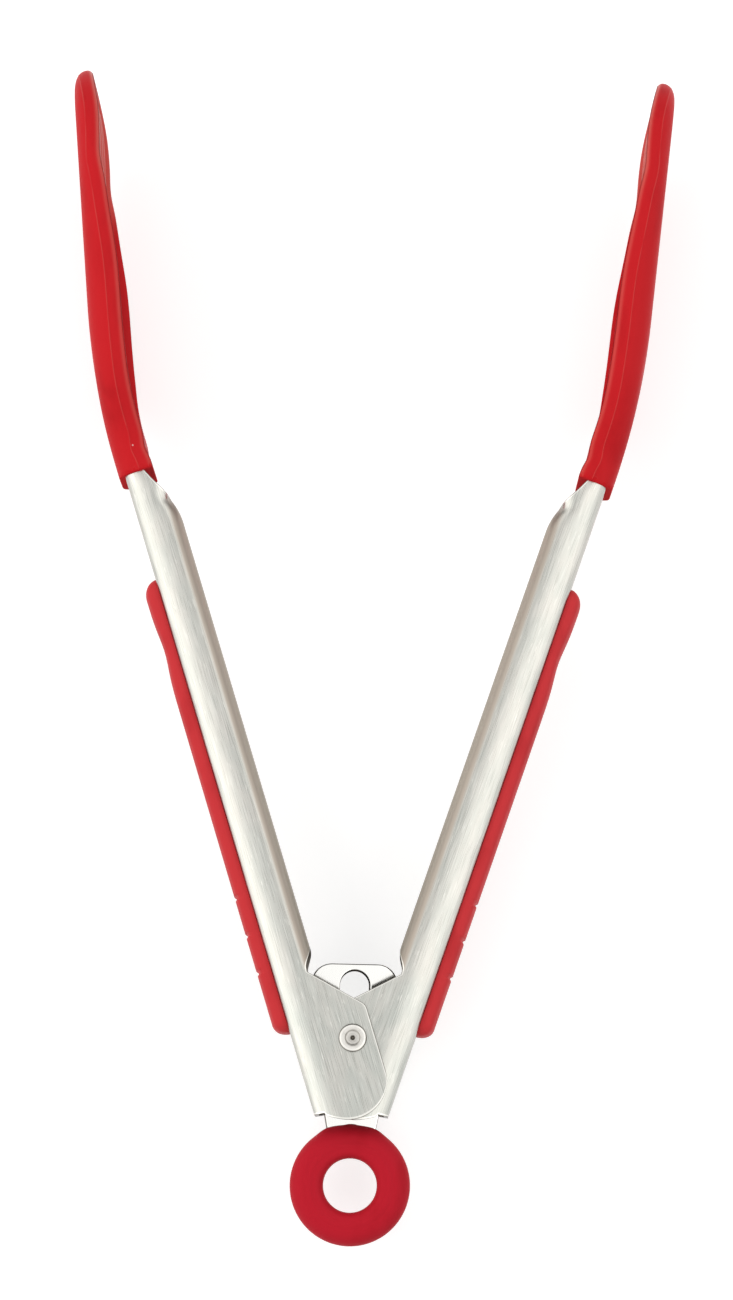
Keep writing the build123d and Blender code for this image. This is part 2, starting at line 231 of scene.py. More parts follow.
class Forge:
    """Turns patches into mesh objects in the row frame, in metres."""

    MERGE = 2e-6
    SHARP = np.radians(38.0)
    CUT_ANGLE = np.radians(50.0)
    CUT_CELLS = 3

    @classmethod
    def piece(cls, name: str, patches: list[Patch], closed: bool = True) -> bpy.types.Object:
        """Joins patches into one mesh object whose shared edges are merged.

        Args:
            name: the object's name.
            patches: grids in the object's frame, in millimetres.
            closed: whether they make a closed shell, whose faces are then turned outwards.

        Returns:
            The new object, linked to the scene.
        """
        mesh = bpy.data.meshes.new(name)
        sizes = [patch.points.shape[0] * patch.points.shape[1] for patch in patches]
        starts = np.concatenate([[0], np.cumsum(sizes)[:-1]])
        points = np.concatenate([patch.points.reshape(-1, 3) for patch in patches]) * MM
        faces = np.concatenate([patch.corners() + start for patch, start in zip(patches, starts)])
        mesh.from_pydata(points, [], faces)
        cls._write_uv(mesh, np.concatenate([patch.uv.reshape(-1, 2) for patch in patches]))
        for mark in sorted({key for patch in patches for key in patch.marks}):
            values = [np.broadcast_to(p.marks.get(mark, 0.0), p.points.shape[:2]) for p in patches]
            attribute = mesh.attributes.new(mark, "FLOAT", "POINT")
            flat = np.concatenate([value.ravel() for value in values])
            attribute.data.foreach_set("value", flat.astype(np.float32))
        cls._weld(mesh, closed)
        made = bpy.data.objects.new(name, mesh)
        bpy.context.scene.collection.objects.link(made)
        cls.shade(made)
        return made

    @staticmethod
    def _write_uv(mesh: bpy.types.Mesh, uv: Array) -> None:
        """Gives each face corner the texture coordinates of its point.

        Args:
            mesh: the mesh to write on.
            uv: coordinates by point.
        """
        at = np.empty(len(mesh.loops), dtype=np.int32)
        mesh.loops.foreach_get("vertex_index", at)
        layer = mesh.uv_layers.new(name=UV_NAME)
        layer.data.foreach_set("uv", uv[at].astype(np.float32).ravel())

    @classmethod
    def _weld(cls, mesh: bpy.types.Mesh, closed: bool) -> None:
        """Merges the points that patches share, and turns a closed shell's faces outwards.

        Args:
            mesh: the mesh to weld.
            closed: whether it is a closed shell.
        """
        work = bmesh.new()
        work.from_mesh(mesh)
        bmesh.ops.remove_doubles(work, verts=work.verts, dist=cls.MERGE)
        bmesh.ops.dissolve_degenerate(work, edges=work.edges, dist=cls.MERGE / 4)
        if closed:
            bmesh.ops.recalc_face_normals(work, faces=work.faces)
        work.to_mesh(mesh)
        work.free()

    @classmethod
    def shade(cls, made: bpy.types.Object) -> None:
        """Shades an object smoothly, with a crease where faces meet at a sharp angle."""
        made.data.shade_smooth()
        made.data.set_sharp_from_angle(angle=cls.SHARP)

    @classmethod
    def thicken(cls, made: bpy.types.Object, thickness: float, edge: float) -> None:
        """Gives a sheet its thickness behind its faces, rounds its cut edges and keeps the result.

        Args:
            made: an open sheet whose faces point outwards.
            thickness: sheet thickness in millimetres.
            edge: rounding of the cut edges in millimetres.
        """
        wall = made.modifiers.new("sheet", "SOLIDIFY")
        wall.thickness = thickness * MM
        wall.offset = -1.0
        wall.use_even_offset = True
        rounding = made.modifiers.new("cut_edges", "BEVEL")
        rounding.width = edge * MM
        rounding.segments = cls.CUT_CELLS
        rounding.limit_method = "ANGLE"
        rounding.angle_limit = cls.CUT_ANGLE
        graph = bpy.context.evaluated_depsgraph_get()
        finished = bpy.data.meshes.new_from_object(made.evaluated_get(graph))
        made.modifiers.clear()
        made.data = finished
        cls.shade(made)


def lathe(radius: Array, height: Array, centre: Array, steps: int) -> Patch:
    """A profile turned about an axis along z: x is r cos a, y is r sin a and z is the height.

    Args:
        radius: distance of each profile point from the axis.
        height: height of each profile point.
        centre: a point of the axis, whose z is added to the heights.
        steps: cells in the full turn.

    Returns:
        A patch whose rows go round and whose columns follow the profile.
    """
    turn = np.linspace(0.0, 2 * np.pi, steps + 1)[:, None]
    points = points_of(radius * np.cos(turn), radius * np.sin(turn), height)
    uv = points_of(turn * np.max(radius), running_length(points_of(radius, height)))
    marks = {"radius": np.broadcast_to(radius, points.shape[:2])}
    return Patch(points + centre, uv, marks)


def rounded_corners(points: list[Pair], radii: list[float], steps: int) -> Array:
    """A closed outline whose corners are arcs tangent to both of their sides.

    Each corner becomes steps + 1 points on a circle. Its centre lies on the bisector, at the radius
    divided by the sine of half the corner's angle.

    Args:
        points: corners in order, anticlockwise.
        radii: radius of each corner.
        steps: cells in each arc.

    Returns:
        The outline's points, the first repeated at the end.
    """
    here = np.array(points)
    back = unit(np.roll(here, 1, axis=0) - here)
    ahead = unit(np.roll(here, -1, axis=0) - here)
    half = np.arccos(np.clip((back * ahead).sum(axis=1), -1, 1)) / 2
    radius = np.array(radii)
    centre = here + unit(back + ahead) * (radius / np.sin(half))[:, None]
    first = here + back * (radius / np.tan(half))[:, None] - centre
    turning = np.sign(np.cross(-back, ahead))
    share = np.linspace(0.0, 1.0, steps + 1)
    angle = turning[:, None] * (np.pi - 2 * half)[:, None] * share
    x = centre[:, :1] + first[:, :1] * np.cos(angle) - first[:, 1:] * np.sin(angle)
    y = centre[:, 1:] + first[:, :1] * np.sin(angle) + first[:, 1:] * np.cos(angle)
    outline = points_of(x, y).reshape(-1, 2)
    return np.concatenate([outline, outline[:1]])


def filled_in(outline: Array, spacing: float) -> Array:
    """The same outline with more points, so that none of its steps is longer than a spacing.

    Args:
        outline: points of a closed outline, the first repeated at the end.
        spacing: the longest step wanted.

    Returns:
        The outline's own points and evenly spaced ones between them.
    """
    run = running_length(outline)
    even = np.linspace(0.0, run[-1], int(run[-1] / spacing) + 2)
    places = np.union1d(even, run)
    return points_of(*(np.interp(places, run, axis) for axis in outline.T))


class Space(Enum):
    """What a pattern is laid out along."""

    SURFACE = "the piece's own UV map"
    OBJECT = "Object coordinates"


class Ray(Enum):
    """The kinds of ray that the studio tells apart, by the names of their sockets."""

    CAMERA = "Is Camera Ray"
    GLOSSY = "Is Glossy Ray"
    THROUGH = "Is Transmission Ray"


Value = Union["Field", float, tuple]


class Field:
    """An output socket of a graph. Arithmetic on it adds Math nodes."""

    def __init__(self, graph: "Graph", socket: bpy.types.NodeSocket) -> None:
        """Keeps the socket and the graph that it belongs to."""
        self.graph = graph
        self.socket = socket

    def _math(self, operation: str, first: Value, second: Value) -> "Field":
        """Adds one Math node on two values."""
        return self.graph.node("ShaderNodeMath", {"operation": operation}, {0: first, 1: second})

    def __add__(self, other: Value) -> "Field":
        """The sum."""
        return self._math("ADD", self, other)

    def __sub__(self, other: Value) -> "Field":
        """The difference."""
        return self._math("SUBTRACT", self, other)

    def __rsub__(self, other: Value) -> "Field":
        """The difference, with this field taken away."""
        return self._math("SUBTRACT", other, self)

    def __mul__(self, other: Value) -> "Field":
        """The product."""
        return self._math("MULTIPLY", self, other)

    def __truediv__(self, other: Value) -> "Field":
        """The quotient."""
        return self._math("DIVIDE", self, other)

    def __abs__(self) -> "Field":
        """The size without its sign."""
        return self._math("ABSOLUTE", self, 0.0)

    __radd__ = __add__
    __rmul__ = __mul__

    def over(self, low: float, high: float) -> "Field":
        """A smooth step from 0 at low to 1 at high, or falling where low is the larger."""
        settings = {"interpolation_type": "SMOOTHSTEP"}
        return self.graph.node("ShaderNodeMapRange", settings, {0: self, 1: low, 2: high})


class Graph:
    """The node graph of a material or a world, round its one shader."""

    def __init__(self, owner: bpy.types.ID, constants: dict[str, float]) -> None:
        """Starts a graph.

        Args:
            owner: the material or the world.
            constants: values set on the shader's own sockets, by socket name.
        """
        owner.use_nodes = True
        self.owner = owner
        self.tree = owner.node_tree
        is_world = isinstance(owner, bpy.types.World)
        self.shader = self.tree.nodes["Background" if is_world else "Principled BSDF"]
        for socket, value in constants.items():
            self.shader.inputs[socket].default_value = value

    @classmethod
    def of(cls, name: str, **constants: float) -> "Graph":
        """A graph of a new material, whose shader sockets are named with _ for each space."""
        spaced = {word.replace("_", " "): value for word, value in constants.items()}
        return cls(bpy.data.materials.new(name), spaced)

    def node(
        self,
        kind: str,
        settings: dict[str, Any],
        inputs: dict[int | str, Value],
        output: int | str = 0,
    ) -> Field:
        """Adds a node.

        Args:
            kind: the node's type.
            settings: properties to set first.
            inputs: values or fields for its sockets, by name or number.
            output: name or number of the output socket wanted.

        Returns:
            That output.
        """
        made = self.tree.nodes.new(kind)
        for word, setting in settings.items():
            setattr(made, word, setting)
        for at, value in inputs.items():
            self.join(value, made.inputs[at])
        return Field(self, made.outputs[output])

    def join(self, value: Value, target: bpy.types.NodeSocket) -> None:
        """Links a field to a socket, or sets a plain value on it. A plain colour is opaque.

        Args:
            value: a field, a number or three of them.
            target: the input socket.
        """
        if isinstance(value, Field):
            self.tree.links.new(value.socket, target)
        elif target.type == "RGBA":
            target.default_value = (*value, 1.0)
        else:
            target.default_value = value

    def mark(self, name: str) -> Field:
        """A value that the mesh carries at its points."""
        return self.node("ShaderNodeAttribute", {"attribute_name": name}, {}, 2)

    def ray(self, kind: Ray) -> Field:
        """1 for a ray of one kind, and 0 for others."""
        return self.node("ShaderNodeLightPath", {}, {}, kind.value)

    def split(self, vector: Field) -> list[Field]:
        """The x, y and z of a vector."""
        first = self.node("ShaderNodeSeparateXYZ", {}, {0: vector})
        return [Field(self, socket) for socket in first.socket.node.outputs]

    def place(self, stretch: Triple, space: Space) -> Field:
        """Coordinates in millimetres, stretched by a factor on each axis.

        Args:
            stretch: factors.
            space: what the coordinates run along.

        Returns:
            The coordinates as a vector.
        """
        if space is Space.SURFACE:
            start = self.node("ShaderNodeUVMap", {"uv_map": UV_NAME}, {})
            scale = stretch
        else:
            start = self.node("ShaderNodeTexCoord", {}, {}, "Object")
            scale = tuple(factor / MM for factor in stretch)
        return self.node("ShaderNodeMapping", {}, {"Vector": start, "Scale": scale})

    def noise_at(self, place: Field, detail: float) -> Field:
        """Soft noise about 0.5 with one lump per unit of its coordinates."""
        return self.node("ShaderNodeTexNoise", {}, {"Vector": place, "Scale": 1.0, "Detail": detail})

    def noise(self, stretch: Triple, space: Space, detail: float = 3.0) -> Field:
        """Soft noise about 0.5 with as many lumps to a millimetre as the stretch says."""
        return self.noise_at(self.place(stretch, space), detail)

    def mix(self, first: Value, second: Value, share: Value) -> Field:
        """A colour between two, by a share."""
        return self.node("ShaderNodeMix", {"data_type": "RGBA"}, {0: share, 6: first, 7: second}, 2)

    def layers(self, base: Value, *coats: tuple[Colour, Value]) -> Value:
        """A colour with others mixed over it in turn.

        Args:
            base: the first colour.
            coats: further colours, each with its share.

        Returns:
            The last mix.
        """
        for colour, share in coats:
            base = self.mix(base, colour, share)
        return base

    def bump(self, height: Field, depth: float, strength: float) -> None:
        """Feeds a height field to the shader's normal, with its depth in millimetres."""
        inputs = {"Height": height, "Distance": depth * MM, "Strength": strength}
        self.feed("Normal", self.node("ShaderNodeBump", {}, inputs))

    def feed(self, socket: str, value: Value) -> None:
        """Feeds the shader."""
        self.join(value, self.shader.inputs[socket])


@dataclass(frozen=True)
class BrushedSteel:
    """Stainless sheet brushed along the arm, with painted shade, reflection and highlights at its roll,
    fold and cut edges.
    """

    name: str = "arm_steel"
    warm: Colour = (0.575, 0.56, 0.52)
    cool: Colour = (0.49, 0.505, 0.47)
    rolled: Colour = (0.29, 0.248, 0.21)
    tucked: Colour = (0.48, 0.44, 0.38)
    pale: Colour = (0.84, 0.83, 0.78)
    dark: Colour = (0.25, 0.25, 0.22)
    cut: Colour = (0.10, 0.085, 0.07)
    fine_streaks: Triple = (4.6, 0.13, 1.0)
    broad_streaks: Triple = (1.5, 0.05, 1.0)
    clouds: Triple = (0.22, 0.09, 1.0)
    scratches: Triple = (2.6, 0.32, 1.0)
    roughness: float = 0.29

    def material(self) -> bpy.types.Material:
        """Makes the steel: streaks along the arm, cloudy patches, and painted shade and light on the roll,
        the fold and the cut edges.

        Returns:
            The new material.
        """
        g = Graph.of(self.name, Metallic=1.0)
        fine = g.noise(self.fine_streaks, Space.SURFACE)
        broad = g.noise(self.broad_streaks, Space.SURFACE)
        cloud = g.noise(self.clouds, Space.SURFACE, 2.0)
        scratch = g.noise(self.scratches, Space.SURFACE, 1.0).over(0.64, 0.74)
        roll = g.mark("roll")
        edge = g.mark("edge")
        trunk = 1.0 - g.mark("ear")
        tone = cloud.over(0.35, 0.68) * 0.55 + broad.over(0.3, 0.7) * 0.2 + trunk * 0.25
        base = g.layers(
            self.cool,
            (self.warm, tone),
            (self.dark, fine.over(0.50, 0.30) * 0.30),
            (self.pale, scratch * 0.30 + fine.over(0.52, 0.72) * 0.30),
            # Painted shade: a dark line along the fold, where the flange starts to roll.
            (self.dark, g.mark("fold") * 0.12),
            # Painted shade on the rolled edge, browner, then a paler painted reflection where it tucks in.
            (self.rolled, roll.over(0.03, 0.24) * 0.9),
            (self.tucked, roll.over(0.34, 0.56) * 0.9),
            # Painted highlight just inside the cut edges, and painted shade on the edges themselves.
            (self.pale, edge.over(0.1, 0.4) * 0.85),
            (self.cut, edge.over(0.76, 0.93) * 0.9),
        )
        g.feed("Base Color", base)
        rough = self.roughness + (fine - 0.5) * 0.2 + scratch * 0.06
        g.feed("Roughness", rough + roll.over(0.12, 0.45) * 0.25)
        g.bump(fine * 0.7 + broad * 0.3, 0.03, 0.35)
        return g.owner


@dataclass(frozen=True)
class PolishedSteel:
    """Mirror polished plate whose cut edges carry a painted dark reflection."""

    name: str = "polished_steel"
    face: Colour = (0.95, 0.945, 0.91)
    edge: Colour = (0.07, 0.055, 0.045)
    swirls: Triple = (0.35, 0.35, 0.35)
    wiped: Triple = (4.0, 0.15, 1.0)
    slack: Triple = (-0.042, 0.094, 0.0)
    roughness: float = 0.07

    def material(self) -> bpy.types.Material:
        """Makes the polish: faint swirls and wiped marks over a mirror, with a painted dark reflection
        where it is cut.

        The plate sits a little slack on its bush: the bump's height falls evenly to one side, as the
        dot product of the place and a slope.

        Returns:
            The new material.
        """
        g = Graph.of(self.name, Metallic=1.0)
        swirl = g.noise(self.swirls, Space.OBJECT, 4.0)
        wipe = g.noise(self.wiped, Space.OBJECT, 2.0)
        cut = g.mark("cut").over(0.1, 0.6)
        # The cut mark paints a dark reflection on the rounded edges of the plate and its slot.
        g.feed("Base Color", g.mix(self.face, self.edge, cut * 0.9))
        rough = self.roughness + swirl * 0.06 + wipe.over(0.6, 0.8) * 0.05
        g.feed("Roughness", rough + cut * 0.15)
        inputs = {0: g.place((1.0, 1.0, 1.0), Space.OBJECT), 1: self.slack}
        fall = g.node("ShaderNodeVectorMath", {"operation": "DOT_PRODUCT"}, inputs, 1)
        g.bump(fall + wipe * 0.0015, 1.0, 1.0)
        return g.owner


@dataclass(frozen=True)
class TurnedSteel:
    """Steel with fine rings about its axis, and painted shade where a piece marks it hollow."""

    name: str
    colour: Colour
    groove: Colour
    stains: Triple = (0.6, 0.6, 0.6)
    pitch: float = 0.16
    roughness: float = 0.22

    def material(self) -> bpy.types.Material:
        """Makes the steel: rings by distance from the axis, with soft stains and painted shade from the
        hollow mark.

        Returns:
            The new material.
        """
        g = Graph.of(self.name, Metallic=1.0)
        outward = g.node("ShaderNodeCombineXYZ", {}, {0: g.mark("radius") / self.pitch})
        rings = g.noise_at(outward, 2.0)
        stain = g.noise(self.stains, Space.OBJECT)
        # The hollow mark is painted shade, mixed towards the darker colour.
        hollow = g.mark("hollow")
        tone = rings.over(0.35, 0.7) * 0.25 + stain.over(0.45, 0.75) * 0.15 + hollow
        g.feed("Base Color", g.mix(self.colour, self.groove, tone))
        g.feed("Roughness", self.roughness + stain * 0.14 + hollow * 0.12)
        g.bump(rings, 0.02, 0.3)
        return g.owner


@dataclass(frozen=True)
class SpringWire:
    """Drawn spring wire with lines along it."""

    name: str = "spring_steel"
    bright: Colour = (0.58, 0.57, 0.55)
    dark: Colour = (0.30, 0.29, 0.28)
    die_lines: Triple = (6.0, 0.2, 1.0)
    patches: Triple = (0.5, 0.5, 0.5)
    roughness: float = 0.24

    def material(self) -> bpy.types.Material:
        """Makes the wire: die lines along its length and duller patches.

        Returns:
            The new material.
        """
        g = Graph.of(self.name, Metallic=1.0)
        lines = g.noise(self.die_lines, Space.SURFACE)
        dull = g.noise(self.patches, Space.OBJECT)
        g.feed("Base Color", g.mix(self.bright, self.dark, dull.over(0.4, 0.75) * 0.7))
        g.feed("Roughness", self.roughness + lines * 0.2)
        g.bump(lines, 0.02, 0.3)
        return g.owner


@dataclass(frozen=True)
class Silicone:
    """Moulded red silicone or rubber: matte, faintly mottled, with a fine grain.

    Attributes:
        name: the material slot.
        colour: the moulding's own red.
        light: paler red of the grain, the seam and the pale bands; on a head's rim the band is a painted
            highlight.
        dark: where it is mottled, and painted shade where the mesh marks it hollow.
        roughness: mean roughness.
        index: index of refraction.
        seam: depth of the moulding seam below the rim, or 0 for none.
        pad: a painted sheen on the gripping pad and the rim beside it.
        dust: colour of the specks along the seam.
        mottles: lumps of the mottling to a millimetre.
        grains: lumps of the grain to a millimetre.
        specks: cells of the specks to a millimetre.
    """

    name: str
    colour: Colour
    light: Colour
    dark: Colour
    roughness: float
    index: float
    seam: float = 0.0
    pad: Colour = (0.62, 0.075, 0.058)
    dust: Colour = (0.85, 0.62, 0.58)
    mottles: Triple = (0.16, 0.07, 0.16)
    grains: Triple = (1 / 0.35, 1 / 0.35, 1 / 0.35)
    specks: Triple = (0.22, 0.22, 0.22)

    def material(self) -> bpy.types.Material:
        """Makes the silicone: mottling, grain, pale bands, a moulding seam with specks, painted shade and a
        painted sheen on the pad.

        Returns:
            The new material.
        """
        g = Graph.of(self.name, Sheen_Weight=0.02, Sheen_Roughness=0.5, IOR=self.index, Coat_Roughness=0.3)
        mottle = g.noise(self.mottles, Space.OBJECT)
        grain = g.noise(self.grains, Space.OBJECT)
        coats = [
            (self.dark, mottle.over(0.48, 0.78) * 0.5),
            # Painted shade: in a head's scoop, at a grip's foot and round the ring's hole.
            (self.dark, g.mark("hollow") * 0.75),
            # Pale bands: a painted highlight along a head's rim, the seam round the ring and a grip's paler
            # shoulders.
            (self.light, g.mark("worn") * 0.85 + grain.over(0.6, 0.85) * 0.12),
        ]
        height = grain * 0.5
        if self.seam:
            off = abs(g.mark("depth") - self.seam)
            line = off.over(0.16, 0.03) * mottle.over(0.3, 0.5)
            cells = {"Vector": g.place(self.specks, Space.OBJECT), "Scale": 1.0}
            spots = g.node("ShaderNodeTexVoronoi", {}, cells)
            speck = spots.over(0.055, 0.03) * off.over(1.1, 0.4)
            # The pad mark paints a paler sheen on the gripping pad and the rim beside it, under a coat.
            pad = g.mark("pad")
            coats += [(self.light, line * 0.55), (self.dust, speck * 0.7), (self.pad, pad)]
            g.feed("Coat Weight", pad * 0.5)
            height = height + line * 1.5 + speck
        g.feed("Base Color", g.layers(self.colour, *coats))
        rough = self.roughness + (grain - 0.5) * 0.2 + (mottle - 0.5) * 0.12
        g.feed("Roughness", rough + g.mark("matte") * 0.5)
        g.bump(height, 0.03, 0.45)
        return g.owner


@dataclass(frozen=True)
class Nylon:
    """Natural nylon, slightly translucent looking, with turning marks."""

    name: str = "nylon"
    colour: Colour = (0.78, 0.75, 0.68)
    shade: Colour = (0.62, 0.58, 0.50)
    clouds: Triple = (0.4, 0.4, 0.4)
    turning: Triple = (0.3, 0.3, 9.0)
    roughness: float = 0.42

    def material(self) -> bpy.types.Material:
        """Makes the nylon: cloudy cream with fine marks.

        Returns:
            The new material.
        """
        g = Graph.of(self.name, Specular_IOR_Level=0.4)
        cloud = g.noise(self.clouds, Space.OBJECT)
        marks = g.noise(self.turning, Space.OBJECT, 2.0)
        g.feed("Base Color", g.mix(self.colour, self.shade, cloud.over(0.4, 0.8) * 0.6))
        g.feed("Roughness", self.roughness + marks * 0.16)
        g.bump(marks, 0.02, 0.3)
        return g.owner


@dataclass
class Maker:
    """Finishes a new piece: its material, the body that it rides on and what it stands for."""

    materials: dict[str, bpy.types.Material]

    def add(self, made: bpy.types.Object, body: str, slot: str, *nodes: str) -> None:
        """Dresses a piece and puts it on its body.

        Args:
            made: the new object.
            body: CAD body that it moves with.
            slot: the record's material slot.
            nodes: CAD nodes that it replaces.
        """
        self.dress(made, slot, *nodes)
        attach(made, body)
        LOG.info("%s: %d faces on %s", made.name, len(made.data.polygons), body)

    def dress(self, made: bpy.types.Object, slot: str, *nodes: str) -> None:
        """Gives a piece its material and hides the CAD nodes that it stands for.

        Args:
            made: the new object.
            slot: the record's material slot.
            nodes: CAD nodes that it replaces.
        """
        made.data.materials.clear()
        made.data.materials.append(self.materials[slot])
        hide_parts(*nodes)

    def twist(self, made: bpy.types.Object, body: str, ends: tuple[Array, Array]) -> None:
        """Bakes a piece's place into its mesh and logs it; it is not tied to a body.

        Args:
            made: the new object.
            body: CAD body named in the log.
            ends: not used.
        """
        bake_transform(made)
        LOG.info("%s: %d faces, twisting from %s", made.name, len(made.data.polygons), body)


@dataclass
class Arm:
    """A steel arm: one sheet whose flanges are ears at the pivot and rolled edges above it."""

    open_angle: float = 18.0
    shift: float = 0.6
    sheet: float = 0.9
    half_width: float = 8.5
    back: float = -12.0
    corner_width: float = 2.4
    corner_reach: float = 5.8
    least_flat: float = 0.3
    inner_edge: float = -3.1
    roll_radius: float = 2.8
    roll_past: float = 0.4
    edge_round: float = 0.32
    ear_edge: float = 4.5
    ear_top: float = 5.7
    ear_corner: float = 2.0
    ear_foot: Pair = (-5.0, 15.5)
    foot_radius: float = 16.6
    foot_corner: float = 7.9
    heel: Pair = (-12.65, -12.92)
    heel_end: float = -9.85
    bend_from: Pair = (15.0, 17.0)
    roll_from: Pair = (15.6, 22.0)
    roll_ease: float = 1.3
    throat: float = 24.0
    neck_from: float = 112.5
    neck_curve: float = 6.2
    neck_slope: float = 0.49
    unroll: Pair = (117.5, 123.5)
    neck_end: float = 126.2
    least_lip: float = 0.8
    tint_end: Pair = (111.0, 121.0)
    ear_fade: Pair = (8.0, 26.0)
    fold_line: float = 0.5
    edge_line: float = 0.5
    row_counts: tuple[int, int, int, int] = (40, 26, 24, 36)

    @property
    def fold(self) -> float:
        """The v at which a flange stops being flat where it is rolled."""
        return self.inner_edge - self.roll_radius

    def placed(self, side: Side, patches: list[Patch]) -> list[Patch]:
        """Carries patches from the arm's frame into the object's.

        They are moved along the rivet by the arm's shift and turned by the opening angle about it.
        For the right arm they are then turned half round about Y, which changes the signs of x and z.

        Args:
            side: the arm that they belong to.
            patches: points in v, u and z.

        Returns:
            Patches with the same marks in x, y and z.
        """
        turn = np.radians(self.open_angle)
        flip = (side.value, 1.0, side.value)
        found = []
        for patch in patches:
            v, u, z = np.moveaxis(patch.points, -1, 0)
            x = v * np.cos(turn) - u * np.sin(turn)
            y = v * np.sin(turn) + u * np.cos(turn)
            points = points_of(x, y, z + self.shift) * flip + PIVOT
            found.append(Patch(points, patch.uv, patch.marks))
        return found

    def lower_end(self, v: Array) -> Array:
        """The u of the stamping's lower edge, by v.

        It is a heel line, then an arc about the rivet, then a rounded corner that is tangent to
        that arc and to the ear's inner edge.

        Args:
            v: places across the stamping.

        Returns:
            The edge's u at each place.
        """
        line = np.interp(v, (self.back, self.heel_end), self.heel)
        corner_v = self.ear_edge - self.foot_corner
        reach = self.foot_radius - self.foot_corner
        corner_u = -np.sqrt(reach**2 - corner_v**2)
        across = np.clip(v - corner_v, -self.foot_corner, self.foot_corner)
        corner = corner_u - np.sqrt(self.foot_corner**2 - across**2)
        arc = -np.sqrt(self.foot_radius**2 - np.minimum(v**2, self.foot_radius**2))
        round_end = np.where(v < corner_v * self.foot_radius / reach, arc, corner)
        return np.where(v < self.heel_end, line, round_end)

    def ear_line(self, u: Array) -> Array:
        """The v of the ear's inner edge: straight, a rounded corner, then a slant to the channel.

        Args:
            u: places along the arm.

        Returns:
            The edge's v at each place.
        """
        foot_v, foot_u = self.ear_foot
        slant = np.degrees(np.arctan2(self.ear_edge - foot_v, foot_u - self.ear_top))
        return -bent_line(u, -self.ear_edge, self.ear_top, slant, self.ear_corner)

    def lip(self, u: Array) -> tuple[Array, Array, Array]:
        """The flange beyond the fold: where it starts, its length and its curvature, by u.

        Below the throat it is the flat ear. Along the arm it is a strip that is rolled to a round
        bead. At the neck the strip is cut away on a slant.

        Args:
            u: places along the arm.

        Returns:
            Start v, strip length and curvature at each place.
        """
        foot_v, foot_u = self.ear_foot
        past = np.clip(u - self.neck_from, 0.0, None)
        curved = np.minimum(past, self.neck_curve)
        fallen = curved**2 / (2 * self.neck_curve) + np.clip(past - self.neck_curve, 0.0, None)
        inner = self.inner_edge - self.neck_slope * fallen
        rolled = 1 - smooth(*self.unroll, u)
        reach = self.least_lip + (self.roll_radius - self.least_lip) * rolled
        almost_flat = 1e-6
        curve = np.maximum(smooth(*self.bend_from, u) * rolled / self.roll_radius, almost_flat)
        whole = np.arcsin(np.minimum(curve * reach, 1.0)) / curve + self.roll_past * rolled
        shortest = foot_v - self.fold
        grown = smooth(*self.roll_from, u) ** self.roll_ease
        strip = shortest + (whole - shortest) * grown
        ear = self.ear_line(np.minimum(u, foot_u)) - self.fold
        return inner - reach, np.where(u < foot_u, ear, strip), curve

    def surface(self) -> Patch:
        """The sheet's outer face as one grid, rows along u and columns across from edge to edge.

        A column starts on the back, goes round the corner on an arc and up the flange. Beyond the
        fold it follows a strip of length L and curvature k: v grows by sin(k l) / k and z falls by
        (1 - cos(k l)) / k. Rows below the pivot are sheared so that the first follows the lower edge.

        Returns:
            The patch in the arm's frame, with marks for the roll, the fold, the ear and cut edges, which
            carry painted shade and light.
        """
        stops = (0.0, self.ear_foot[1], self.throat, self.neck_from, self.neck_end)
        spans = zip(stops, stops[1:], self.row_counts)
        above = [np.linspace(low, high, count)[1:] for low, high, count in spans]
        rows = np.concatenate([np.linspace(-1.0, 0.0, 26), *above])[:, None]
        each = np.ones_like(rows)
        u = np.maximum(rows, 0.0)
        start, length, curve = self.lip(u)
        flat = self.half_width - self.corner_width
        reach = np.minimum(self.corner_reach, start - self.least_flat - self.back)
        turn = quarter_turn(17)
        back_z = np.linspace(0.0, flat, 6)[:-1]
        corner_v = self.back + reach * (1 - np.cos(turn))
        corner_z = flat + self.corner_width * np.sin(turn)
        share = np.linspace(0.0, 1.0, 6)[1:]
        side_v = corner_v[:, -1:] + (start - corner_v[:, -1:]) * share
        run = length * np.sin(quarter_turn(24)[1:])
        lip_v = start + np.sin(curve * run) / curve
        lip_z = self.half_width - (1 - np.cos(curve * run)) / curve
        back_v = np.full_like(back_z, self.back)
        side_z = np.full_like(share, self.half_width)
        v = np.hstack([each * part for part in (back_v, corner_v, side_v, lip_v)])
        z = np.hstack([each * part for part in (back_z, corner_z, side_z, lip_z)])
        along = np.where(rows < 0.0, -rows * self.lower_end(v), rows)
        across = running_length(points_of(v, z))
        lips = run.shape[1]
        before = v.shape[1] - lips
        beyond = np.hstack([np.zeros((len(rows), before)), run])
        to_edge = np.where(np.arange(v.shape[1]) < before, np.inf, length - beyond)
        to_end = np.where(rows < 0.0, -(1 + rows) * self.lower_end(v), np.inf)
        rolled = np.clip(beyond * curve / (np.pi / 2), 0.0, 1.0)
        from_fold = across - across[:, before - 1:before]
        # The roll mark, which ends at the neck, and the fold and edge marks carry painted shade, reflection
        # and highlights in the steel.
        marks = {
            "roll": rolled * (1 - smooth(*self.tint_end, u)),
            "fold": hump(from_fold, self.roll_radius, 0.0, self.fold_line) * curve,
            "ear": np.broadcast_to(1 - smooth(*self.ear_fade, u), v.shape),
            "edge": 1 - smooth(0.0, self.edge_line, np.minimum(to_edge, to_end)),
        }
        return Patch(points_of(v, along, z), points_of(across, along), marks).doubled()

    def build(self, side: Side, maker: Maker) -> None:
        """Makes one arm as a sheet with rounded cut edges.

        Args:
            side: which arm.
            maker: what finishes the piece.
        """
        name = f"{side.word}_arm"
        made = Forge.piece(f"{name}_sheet", self.placed(side, [self.surface()]), closed=False)
        Forge.thicken(made, self.sheet, self.edge_round)
        maker.add(made, name, "arm_steel", name)


